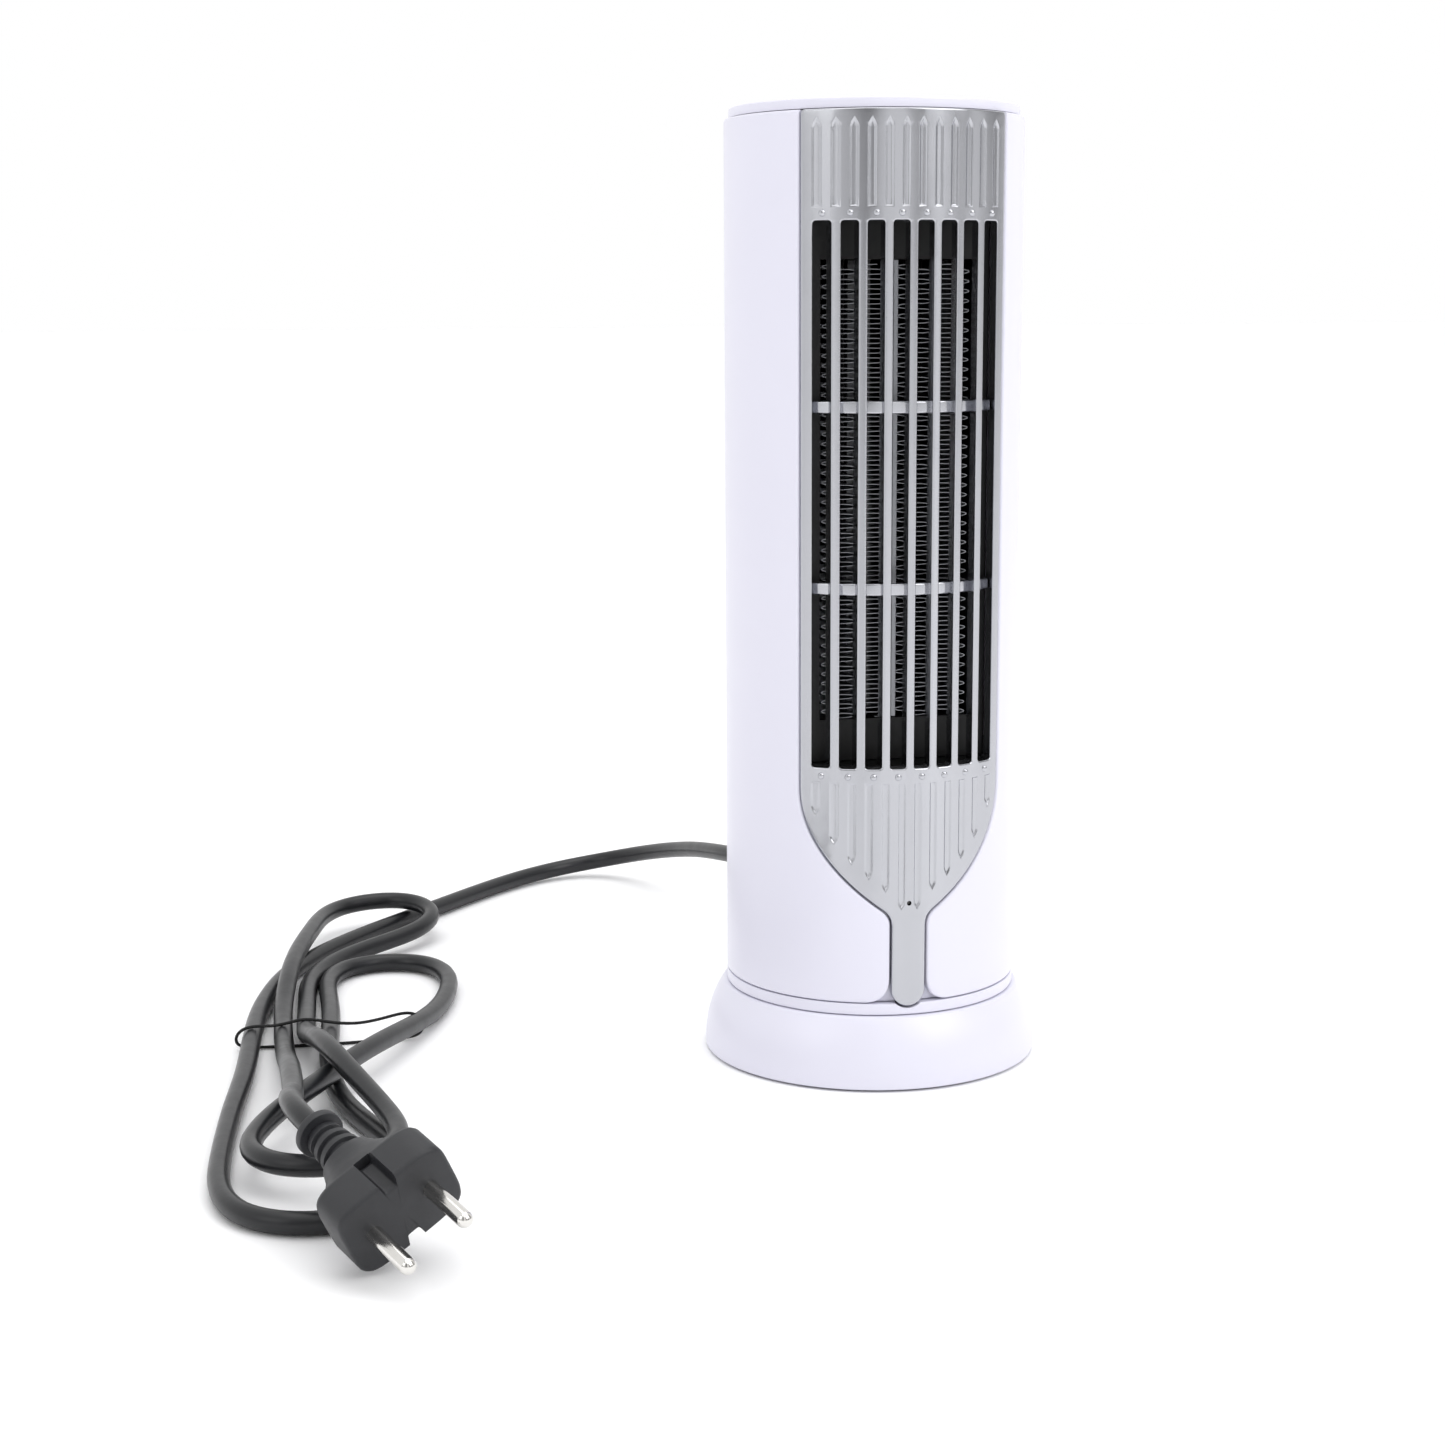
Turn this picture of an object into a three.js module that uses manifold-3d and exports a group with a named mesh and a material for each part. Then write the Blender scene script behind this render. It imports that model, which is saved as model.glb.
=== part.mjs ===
// Tower fan heater: a slim round tower on a flared base. A cross-flow fan draws air in through
// slots at the back and blows it through a ceramic heater and the slotted chrome panel in front.
// Units are millimetres. +Z is up, the chrome panel faces -Y, and the origin is the centre of
// the base at floor level.
import * as THREE from 'three';
import { mergeVertices } from 'three/addons/utils/BufferGeometryUtils.js';
import Module from 'manifold-3d';

const wasm = await Module();
wasm.setup();

// ---------------------------------------------------------------- driving dimensions
const GAP = 0.3; // clearance between pieces that touch
const RUNNING_GAP = 0.4; // clearance round pieces that move
const WALL = 2.2; // moulded housing wall
const ROUND_STEPS = 60; // facets round the tower
const SMALL_STEPS = 12; // facets round small pins, screws and feet

// Tower body
const BODY_RADIUS = 49.8;
const BODY_TOP = 317;
const COLLAR_HEIGHT = 4.2;
const COLLAR_PLATE = 2.5;
const CAP_INSET = 1.6;
const CAP_THICKNESS = 3.2;
const CAP_EDGE = 0.8; // rounding of the cap's rim
const CAP_SPIGOT = 6; // how far the cap's ring reaches down into the tower
const REAR_HALF_ANGLE = 55; // degrees either side of +Y that the rear cover takes

// Base
const BASE_HEIGHT = 24;
const BASE_LEDGE = 1.2; // base top beyond the tower
const BASE_FLARE = 6.5; // base foot beyond the base top
const SKIRT_CLEARANCE = 0.8; // skirt edge above the floor
const SKIRT_BULGE = 2.5; // exponent of the skirt's outline
const SKIRT_STEPS = 4;
const WIRE_HOLE_RADIUS = 12;
const FOOT_RADIUS = 5;
const FOOT_HEIGHT = 2.1;
const FOOT_INSET = 5; // foot centres inside the base top
const PLATE_THICKNESS = 2.2;
const BASE_SCREW_INSET = 9; // screw centres inside the base top
const PLUNGER = { radius: 3, top: 15, y: -24 };
const TIP_SWITCH = { halfWidth: 6, halfDepth: 8, cover: 3 };

// Chrome panel
const PANEL_THICKNESS = 2.4;
const PANEL_SEAM = 0.7; // open joint round the panel
const PANEL_MARGIN = 2.3; // plain border beside the bars
const POCKET_WALL = 2; // wall behind the panel
const OGIVE_TOP = 100; // where the straight sides start to curve in
const OGIVE_CONTROL = 77.8;
const SHOULDER = { x: 8.4, z: 59.9, drop: 2 }; // where the ogive turns into the strip
const STRIP_HALF_WIDTH = 5.7;
const STRIP_TOP = 54.6;
const STRIP_END = 27.1;
const CORNER_RADIUS = 8.6; // shell corners beside the strip
const SLOT_COUNT = 8;
const SLOT_PITCH = 7.95;
const SLOT_WIDTH = 5.2;
const SLOT_BOTTOM = 107.3;
const SLOT_TOP_MARGIN = 34.4; // slots stop this far below the top of the tower
const BAR_DEPTH = 5.5;
const BAR_FIELD_MARGIN = 0.9; // thick field past the outer slots
const FIELD_END = 4.6; // thick field past the slots' ends
const CROSS_BAR_COUNT = 2;
const CROSS_BAR_HEIGHT = 4;
const CROSS_BAR_RECESS = 2.8;
const FLUTE_COUNT = 12;
const FLUTE_PITCH = 5.35;
const FLUTE_WIDTH = 3;
const FLUTE_DEPTH = 0.5;
const UPPER_FLUTE = { aboveSlots: 4.1, belowTop: 3.3, point: 4 };
const LOWER_FLUTE_MARGIN = 6; // how far the lower flutes stop above the ogive
const LAMP_LEVEL = 62.2;
const LAMP_HOLE_RADIUS = 0.8;
const LAMP_SEAT_RADIUS = 1.8;
const LAMP_BOARD = { halfWidth: 6, halfHeight: 7, thickness: 1.6 };

// Inner decks
const DECK_THICKNESS = 3;
const DECK_CLEARANCE = 1.5; // deck rim to the wall behind the panel
const DECK_OVERLAP = { lower: 0.4, upper: 1.4 }; // decks outside the slots' ends
const BUSH_RADIUS = 5;
const BUSH_FLANGE = 2;
const LEG_RADIUS = 3.5;
const LEG_INSET = 5.6; // leg centres inside the deck rim
const LEG_ANGLES = [0, 115, 245]; // degrees round from the front
const GUIDE_THICKNESS = 1.6;

// Heater
const HEATER_FRONT = -30; // front face of the heater's frame
const HEATER_DEPTH = 14;
const HEATER_HALF_WIDTH = 31;
const HEATER_WINDOW_HALF = 25.6;
const HEATER_RAIL = { bottom: 14.1, top: 13 };
const FIN_COUNT = 4;
const FIN_PITCH_ACROSS = 12.6;
const FIN_DEPTH = 11;
const FIN_WAVE = 6.4; // one full wave of the folded fin
const FIN_SHEET = 0.6;
const TUBE_THICKNESS = 1.4;
const CUTOUT = { radius: 5, height: 6, x: 18 };

// Fan and motor
const FAN_AXIS_Y = 9;
const FAN_RADIUS = 20;
const FAN_CLEARANCE = { bottom: 5.1, top: 10 }; // wheel ends to the decks
const FAN_DISC = 1.6;
const BLADE_COUNT = 16;
const BLADE_CHORD = 7;
const BLADE_THICKNESS = 1.1;
const BLADE_SWEEP = 26; // degrees that a blade leans from the radius
const HUB_RADIUS = 6;
const HUB_SOCKET = 14;
const SHAFT_RADIUS = 2.5;
const SHAFT_IN_MOTOR = 12;
const PIVOT_RADIUS = 2;
const MOTOR_RADIUS = 18;
const MOTOR_HEIGHT = 34;
const MOTOR_BELOW_DECK = 2;

// Rear cover
const INTAKE_COLUMNS = 11;
const INTAKE_PITCH = 5.6;
const INTAKE_WIDTH = 2.8;
const INTAKE_ROW_COUNT = 3;
const INTAKE_ROW_GAP = 5;
const INTAKE_MARGIN = { bottom: 6, top: 2 }; // slot rows inside the wheel's ends
const REAR_SCREW_X = 26;
const REAR_SCREW_ABOVE = { collar: 13.2, deck: 7 };
const BOSS_BACK = 36; // inner end of the rear cover's screw bosses
const LUG_DEPTH = 9;
const LUG_MARGIN = 2.5; // lug round a screw
const SCREW_HEAD_RADIUS = 3;
const SCREW_HEAD_HEIGHT = 1.8;
const SCREW_SHANK_RADIUS = 1.5;
const SCREW_LENGTH = 8;

// Power switch on the back
const SWITCH_LEVEL = 78;
const SWITCH_PAD = { proud: 0.8, margin: 3 }; // flat pad that carries the switch
const SWITCH_BODY = { halfWidth: 6.4, halfHeight: 9.5, depth: 16 };
const SWITCH_BEZEL = { halfWidth: 7.7, halfHeight: 10.7, thickness: 1.6 };
const ROCKER = { halfWidth: 4.6, halfHeight: 6.6, rise: 2.4, tilt: 10, heel: 3.2, well: 6 };

// Mains lead and plug
const CORD_RADIUS = 3.4;
const CORD_SIDES = 8;
const CORD_STEP = 17;
const GLAND_LEVEL = 36.5;
const GLAND_LENGTH = 36;
const GLAND_NECK = 5;
const GLAND_FLANGE = { inner: 2, outer: 2.4, thickness: 2 };
const INNER_LEAD_RADIUS = 2.4;
const HEATER_LEAD_RADIUS = 1.4;
const HANK = { start: [-178, 160], end: [-196, -110], halfWidth: 33, bottom: GAP, top: 20.7 };
const TIE = { along: 0.46, width: 2, thickness: 1.7, proud: 0.4 };
const PLUG_FACE = [-176.3, -175.2, 18.3];
const PLUG_YAW = -62.5; // degrees about Z from +X to the way the pins point
const PLUG_PITCH = 12.8; // degrees that the pins point below level
const PLUG_ROLL = 30;
const PLUG_HALF_WIDTH = 17.6;
const PLUG_HALF_HEIGHT = 12.6;
const PLUG_NOTCH = { halfWidth: 2.6, depth: 3.4, taper: 1 };
const PLUG_SHOULDER = { x: 9, z: 8 }; // rounding of the plug's two upper corners
const PLUG_CHAMFER = { x: 5, z: 3 }; // slope of its two lower corners
const PLUG_BLOCK = 14;
const PLUG_NECK = { end: 29, front: 15.5, back: 8, flatness: 0.72, sides: 10, overlap: 2 };
const PLUG_RELIEF = { end: 46, collar: 7, collarLength: 3, thin: 5.2, thick: 5.8 };
const PIN_SPACING = 19;
const PIN_LENGTH = 19;
const PIN_RADIUS = 2.4;
const PIN_SEAT = 6;

// The lead from the gland to the tied hank, as it droops from the back of the tower to the floor.
const CORD_ROUTE = [
  [0, 88.5, 36.5], [0, 99, 36.5], [-4, 118, 36.1], [-10.5, 139, 34.9], [-17, 160, 32.7],
  [-21.5, 188, 28.4], [-25, 212, 23.6], [-31, 236, 17.9], [-40, 256, 12.2], [-54, 268, 7.3],
  [-73, 268.5, 4.6], [-92, 257, 3.8], [-110, 239, 3.7], [-129, 217, 3.7], [-144, 199.5, 3.7],
  [-156, 185.5, 3.7],
];
// The lead's last stretch, over the end of the hank and into the plug's strain relief.
const TAIL_ROUTE = [
  [-197.2, -135.1, 28.6], [-201.5, -126.8, 30.7], [-203.6, -116, 30.8], [-203.8, -103, 28.2],
  [-203, -90, 24.2], [-202.2, -78, 20.2], [-201.6, -68, 16.5],
];

// ---------------------------------------------------------------- sizes that follow from these
const BASE_TOP_RADIUS = BODY_RADIUS + BASE_LEDGE;
const BASE_RADIUS = BASE_TOP_RADIUS + BASE_FLARE;
const FOOT_CIRCLE = BASE_TOP_RADIUS - FOOT_INSET;
const BASE_SCREW_CIRCLE = BASE_TOP_RADIUS - BASE_SCREW_INSET;
const COLLAR_BOTTOM = BASE_HEIGHT + GAP;
const COLLAR_PLATE_TOP = COLLAR_BOTTOM + COLLAR_PLATE;
const COLLAR_TOP = BASE_HEIGHT + COLLAR_HEIGHT - GAP / 2;
const SHELL_BOTTOM = COLLAR_TOP + GAP;
const SHELL_INNER = BODY_RADIUS - WALL;
const POCKET_FLOOR = BODY_RADIUS - PANEL_THICKNESS - GAP;
const POCKET_INNER = POCKET_FLOOR - POCKET_WALL;
const BAR_FIELD_HALF = (SLOT_COUNT - 1) / 2 * SLOT_PITCH + SLOT_WIDTH / 2 + BAR_FIELD_MARGIN;
const PANEL_HALF_WIDTH = BAR_FIELD_HALF + PANEL_MARGIN;
const SLOT_TOP = BODY_TOP - SLOT_TOP_MARGIN;
const FIELD_BOTTOM = SLOT_BOTTOM - FIELD_END;
const FIELD_TOP = SLOT_TOP + FIELD_END;
const LOWER_DECK_TOP = SLOT_BOTTOM - DECK_OVERLAP.lower;
const LOWER_DECK_BOTTOM = LOWER_DECK_TOP - DECK_THICKNESS;
const UPPER_DECK_BOTTOM = SLOT_TOP + DECK_OVERLAP.upper;
const UPPER_DECK_TOP = UPPER_DECK_BOTTOM + DECK_THICKNESS;
const DECK_RADIUS = POCKET_INNER - DECK_CLEARANCE;
const LEG_CIRCLE = DECK_RADIUS - LEG_INSET;
const WINDOW_BOTTOM = LOWER_DECK_TOP + HEATER_RAIL.bottom;
const WINDOW_TOP = UPPER_DECK_BOTTOM - HEATER_RAIL.top;
const FAN_BOTTOM = LOWER_DECK_TOP + FAN_CLEARANCE.bottom;
const FAN_TOP = UPPER_DECK_BOTTOM - FAN_CLEARANCE.top;
const REAR_SCREW_LEVELS = [
  COLLAR_PLATE_TOP + REAR_SCREW_ABOVE.collar, UPPER_DECK_TOP + REAR_SCREW_ABOVE.deck,
];
const SWITCH_FACE = BODY_RADIUS + SWITCH_PAD.proud;
const GLAND_BACK = SHELL_INNER - 1 - GLAND_FLANGE.thickness;
const GLAND_END = BODY_RADIUS + GAP + GLAND_LENGTH + GLAND_FLANGE.thickness;
const FRONT_REACH = -2 * BODY_RADIUS; // past the front of everything, for cutters

// ---------------------------------------------------------------- materials
const finish = (color, roughness, metalness = 0) =>
  new THREE.MeshStandardMaterial({ color, roughness, metalness });
const WHITE_ABS = finish(0xeeedf6, 0.28);
const CHROME = finish(0xc9cacf, 0.16, 1);
const BLACK_RUBBER = finish(0x1c1c1e, 0.8);
const BLACK_PLASTIC = finish(0x17181a, 0.5);
const CORD_PVC = finish(0x2a2b2e, 0.45);
const GREY_PLASTIC = finish(0x9a9ca0, 0.55);
const NICKEL = finish(0xd6d4cf, 0.2, 1);
const STEEL = finish(0x9d9fa3, 0.35, 1);
const ALUMINIUM = finish(0xb9bbbe, 0.4, 1);
const LENS = finish(0x2a1210, 0.15);

// ---------------------------------------------------------------- solids
const DEGREE = Math.PI / 180;

function solid(geometry) {
  const bare = geometry.clone();
  bare.deleteAttribute('normal');
  bare.deleteAttribute('uv');
  const merged = mergeVertices(bare, 1e-4);
  return new wasm.Manifold(new wasm.Mesh({
    numProp: 3,
    vertProperties: new Float32Array(merged.attributes.position.array),
    triVerts: new Uint32Array(merged.index.array),
  }));
}

function geometryOf(body) {
  const mesh = body.getMesh();
  const geometry = new THREE.BufferGeometry();
  geometry.setAttribute('position', new THREE.BufferAttribute(mesh.vertProperties, 3));
  geometry.setIndex(new THREE.BufferAttribute(mesh.triVerts, 1));
  return geometry;
}

const join = (...bodies) => bodies.reduce((a, b) => a.add(b));
const cut = (body, ...tools) => tools.reduce((a, b) => a.subtract(b), body);

// Points given counter-clockwise or clockwise come back counter-clockwise.
function counterClockwise(points) {
  const area = points.reduce((sum, [x, y], i) => {
    const [nextX, nextY] = points[(i + 1) % points.length];
    return sum + x * nextY - nextX * y;
  }, 0);
  return area > 0 ? points : [...points].reverse();
}

// A solid turned about the vertical through (x, y). The profile is a closed list of [radius, z].
function turned(profile, { x = 0, y = 0, steps = ROUND_STEPS } = {}) {
  const loop = counterClockwise(profile).map(([r, z]) => new THREE.Vector2(r, z));
  const geometry = new THREE.LatheGeometry([...loop, loop[0].clone()], steps);
  return solid(geometry.rotateX(Math.PI / 2).translate(x, y, 0));
}

const ring = (inner, outer, bottom, top, spot) =>
  turned([[inner, bottom], [outer, bottom], [outer, top], [inner, top]], spot);

const disc = (radius, bottom, top, spot) => ring(0, radius, bottom, top, spot);

// A turned solid laid along +Y. The profile is a closed list of [radius, y].
function turnedAlongY(profile, x, z, steps = SMALL_STEPS) {
  const loop = counterClockwise(profile).map(([r, y]) => new THREE.Vector2(r, y));
  const geometry = new THREE.LatheGeometry([...loop, loop[0].clone()], steps);
  return solid(geometry.translate(x, 0, z));
}

const pinAlongY = (radius, from, to, x, z) =>
  turnedAlongY([[0, from], [radius, from], [radius, to], [0, to]], x, z);

function box(x0, x1, y0, y1, z0, z1) {
  const geometry = new THREE.BoxGeometry(x1 - x0, y1 - y0, z1 - z0);
  return solid(geometry.translate((x0 + x1) / 2, (y0 + y1) / 2, (z0 + z1) / 2));
}

// A plan outline extruded upwards.
function upright(shape, bottom, top, curveSegments = 12) {
  const geometry = new THREE.ExtrudeGeometry(
    shape, { depth: top - bottom, bevelEnabled: false, curveSegments });
  return solid(geometry.translate(0, 0, bottom));
}

// A front-view outline, drawn in x and z, extruded through the depth from y0 to y1.
function through(shape, y0, y1, curveSegments = 12) {
  const geometry = new THREE.ExtrudeGeometry(
    shape, { depth: y1 - y0, bevelEnabled: false, curveSegments });
  return solid(geometry.rotateX(Math.PI / 2).translate(0, y1, 0));
}

const outline = (points) => new THREE.Shape(points.map(([x, y]) => new THREE.Vector2(x, y)));

// A wedge of the tower about +Y, moved outwards by a clearance on each of its two faces.
function rearWedge(clearance) {
  const half = REAR_HALF_ANGLE * DEGREE;
  const reach = 4 * BODY_RADIUS;
  const apex = -clearance / Math.sin(half);
  const side = reach * Math.sin(half);
  const back = apex + reach * Math.cos(half);
  return upright(outline([[0, apex], [side, back], [-side, back]]), 0, 2 * BODY_TOP);
}

// A tube along a smooth curve through the points.
function tube(points, radius, sides = CORD_SIDES, step = CORD_STEP) {
  const curve = new THREE.CatmullRomCurve3(
    points.map((p) => new THREE.Vector3(...p)), false, 'centripetal');
  const section = new THREE.Shape();
  section.absarc(0, 0, radius, 0, 2 * Math.PI);
  return solid(new THREE.ExtrudeGeometry(section, {
    steps: Math.ceil(curve.getLength() / step),
    curveSegments: sides,
    extrudePath: curve,
  }));
}

const tower = new THREE.Group();

function place(name, body, material, parent = tower) {
  const mesh = new THREE.Mesh(geometryOf(body), material);
  mesh.name = name;
  parent.add(mesh);
}

// ---------------------------------------------------------------- chrome panel outline
// Front view of the panel, grown by a clearance all round.
function panelOutline(grow = 0) {
  const side = PANEL_HALF_WIDTH + grow;
  const strip = STRIP_HALF_WIDTH + grow;
  const shoulderX = SHOULDER.x + 0.6 * grow;
  const shoulderZ = SHOULDER.z - 0.8 * grow;
  const shape = new THREE.Shape();
  shape.moveTo(side, BODY_TOP + grow);
  shape.lineTo(-side, BODY_TOP + grow);
  shape.lineTo(-side, OGIVE_TOP);
  shape.quadraticCurveTo(-side, OGIVE_CONTROL - grow, -shoulderX, shoulderZ);
  shape.quadraticCurveTo(-strip, shoulderZ - SHOULDER.drop, -strip, STRIP_TOP);
  shape.lineTo(-strip, STRIP_END + STRIP_HALF_WIDTH);
  shape.absarc(0, STRIP_END + STRIP_HALF_WIDTH, strip, Math.PI, 2 * Math.PI);
  shape.lineTo(strip, STRIP_TOP);
  shape.quadraticCurveTo(strip, shoulderZ - SHOULDER.drop, shoulderX, shoulderZ);
  shape.quadraticCurveTo(side, OGIVE_CONTROL - grow, side, OGIVE_TOP);
  return shape;
}

// Where the two bottom corners of the shell are rounded away beside the strip.
function shellCorners() {
  const inner = STRIP_HALF_WIDTH + PANEL_SEAM;
  const shape = new THREE.Shape();
  shape.moveTo(-inner - CORNER_RADIUS, SHELL_BOTTOM - GAP);
  shape.quadraticCurveTo(-inner, SHELL_BOTTOM, -inner, SHELL_BOTTOM + CORNER_RADIUS);
  shape.lineTo(inner, SHELL_BOTTOM + CORNER_RADIUS);
  shape.quadraticCurveTo(inner, SHELL_BOTTOM, inner + CORNER_RADIUS, SHELL_BOTTOM - GAP);
  return shape;
}

// ---------------------------------------------------------------- base
function base() {
  const skirt = (z) =>
    BASE_RADIUS - (BASE_RADIUS - BASE_TOP_RADIUS) * (z / BASE_HEIGHT) ** SKIRT_BULGE;
  const outer = [];
  const inner = [];
  const deck = BASE_HEIGHT - WALL;
  for (let i = 0; i <= SKIRT_STEPS; i++) {
    const t = i / SKIRT_STEPS;
    const z = SKIRT_CLEARANCE + t * (BASE_HEIGHT - SKIRT_CLEARANCE);
    const under = SKIRT_CLEARANCE + t * (deck - SKIRT_CLEARANCE);
    outer.push([skirt(z), z]);
    inner.unshift([skirt(under) - WALL, under]);
  }
  const shell = turned([
    ...outer, [WIRE_HOLE_RADIUS, BASE_HEIGHT], [WIRE_HOLE_RADIUS, deck], ...inner,
  ]);

  const plateBottom = FOOT_HEIGHT + GAP;
  const plateTop = plateBottom + PLATE_THICKNESS;
  const plateRadius = skirt(plateTop) - WALL - GAP;
  const bossRadius = SCREW_HEAD_RADIUS + 1;
  const pilot = SCREW_SHANK_RADIUS + GAP;
  const bosses = [];
  const screwHoles = [];
  const clearHoles = [];
  for (let i = 0; i < 4; i++) {
    const angle = i * 90 * DEGREE;
    const spot = {
      x: BASE_SCREW_CIRCLE * Math.cos(angle),
      y: BASE_SCREW_CIRCLE * Math.sin(angle),
      steps: SMALL_STEPS,
    };
    bosses.push(disc(bossRadius, plateTop + GAP, deck + WALL / 2, spot));
    screwHoles.push(disc(pilot, 0, plateTop + SCREW_LENGTH, spot));
    clearHoles.push(disc(pilot, 0, plateTop + GAP, spot));
    const headTop = plateBottom - GAP;
    const headBottom = headTop - (SCREW_HEAD_HEIGHT - SKIRT_CLEARANCE);
    place(`base_screw_${i + 1}`, turned([
      [0, headBottom], [SCREW_HEAD_RADIUS, headBottom], [SCREW_HEAD_RADIUS, headTop],
      [SCREW_SHANK_RADIUS, headTop], [SCREW_SHANK_RADIUS, plateTop + SCREW_LENGTH - 1],
      [0, plateTop + SCREW_LENGTH - 1],
    ], spot), STEEL);
  }
  place('base_shell', cut(join(shell, ...bosses), ...screwHoles), WHITE_ABS);

  for (let i = 0; i < 4; i++) {
    const angle = (45 + i * 90) * DEGREE;
    place(`foot_${i + 1}`, disc(FOOT_RADIUS, 0, FOOT_HEIGHT, {
      x: FOOT_CIRCLE * Math.cos(angle), y: FOOT_CIRCLE * Math.sin(angle), steps: SMALL_STEPS,
    }), BLACK_RUBBER);
  }

  const spot = { x: 0, y: PLUNGER.y, steps: SMALL_STEPS };
  const bore = PLUNGER.radius + RUNNING_GAP;
  place('base_plate', cut(
    disc(plateRadius, plateBottom, plateTop), ...clearHoles,
    disc(bore, 0, BASE_HEIGHT, spot)), BLACK_PLASTIC);
  place('tip_switch_body', cut(
    box(-TIP_SWITCH.halfWidth, TIP_SWITCH.halfWidth, PLUNGER.y - TIP_SWITCH.halfDepth,
      PLUNGER.y + TIP_SWITCH.halfDepth, plateTop + GAP, PLUNGER.top + TIP_SWITCH.cover),
    disc(bore, 0, PLUNGER.top + 1, spot)), BLACK_PLASTIC);
  place('tip_plunger', disc(PLUNGER.radius, RUNNING_GAP, PLUNGER.top, spot), GREY_PLASTIC);
}

// ---------------------------------------------------------------- collar between base and tower
function collar() {
  const spigot = WIRE_HOLE_RADIUS - GAP;
  const rimInner = SHELL_INNER - WALL;
  const body = turned([
    [spigot - WALL, BASE_HEIGHT - WALL - 2], [spigot, BASE_HEIGHT - WALL - 2],
    [spigot, COLLAR_BOTTOM], [BODY_RADIUS, COLLAR_BOTTOM], [BODY_RADIUS, COLLAR_TOP],
    [rimInner, COLLAR_TOP], [rimInner, COLLAR_PLATE_TOP], [spigot - WALL, COLLAR_PLATE_TOP],
  ]);
  const lugs = [-1, 1].map((side) => rearLug(side, REAR_SCREW_LEVELS[0], COLLAR_PLATE_TOP - 1));
  const pilots = [-1, 1].map((side) => pinAlongY(
    SCREW_SHANK_RADIUS + GAP, 0, BODY_RADIUS, side * REAR_SCREW_X, REAR_SCREW_LEVELS[0]));
  const stripPocket = cut(
    through(panelOutline(PANEL_SEAM), FRONT_REACH, 0), disc(POCKET_FLOOR, 0, BODY_TOP));
  place('collar', cut(join(body, ...lugs), ...pilots, stripPocket), WHITE_ABS);
}

// A block that a rear cover screw bites into, standing up from or down to a deck.
function rearLug(side, level, deckLevel) {
  const x = side * REAR_SCREW_X;
  const half = SCREW_SHANK_RADIUS + LUG_MARGIN;
  const low = Math.min(deckLevel, level - half);
  const high = Math.max(deckLevel, level + half);
  return box(x - half, x + half, BOSS_BACK - GAP - LUG_DEPTH, BOSS_BACK - GAP, low, high);
}

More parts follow.
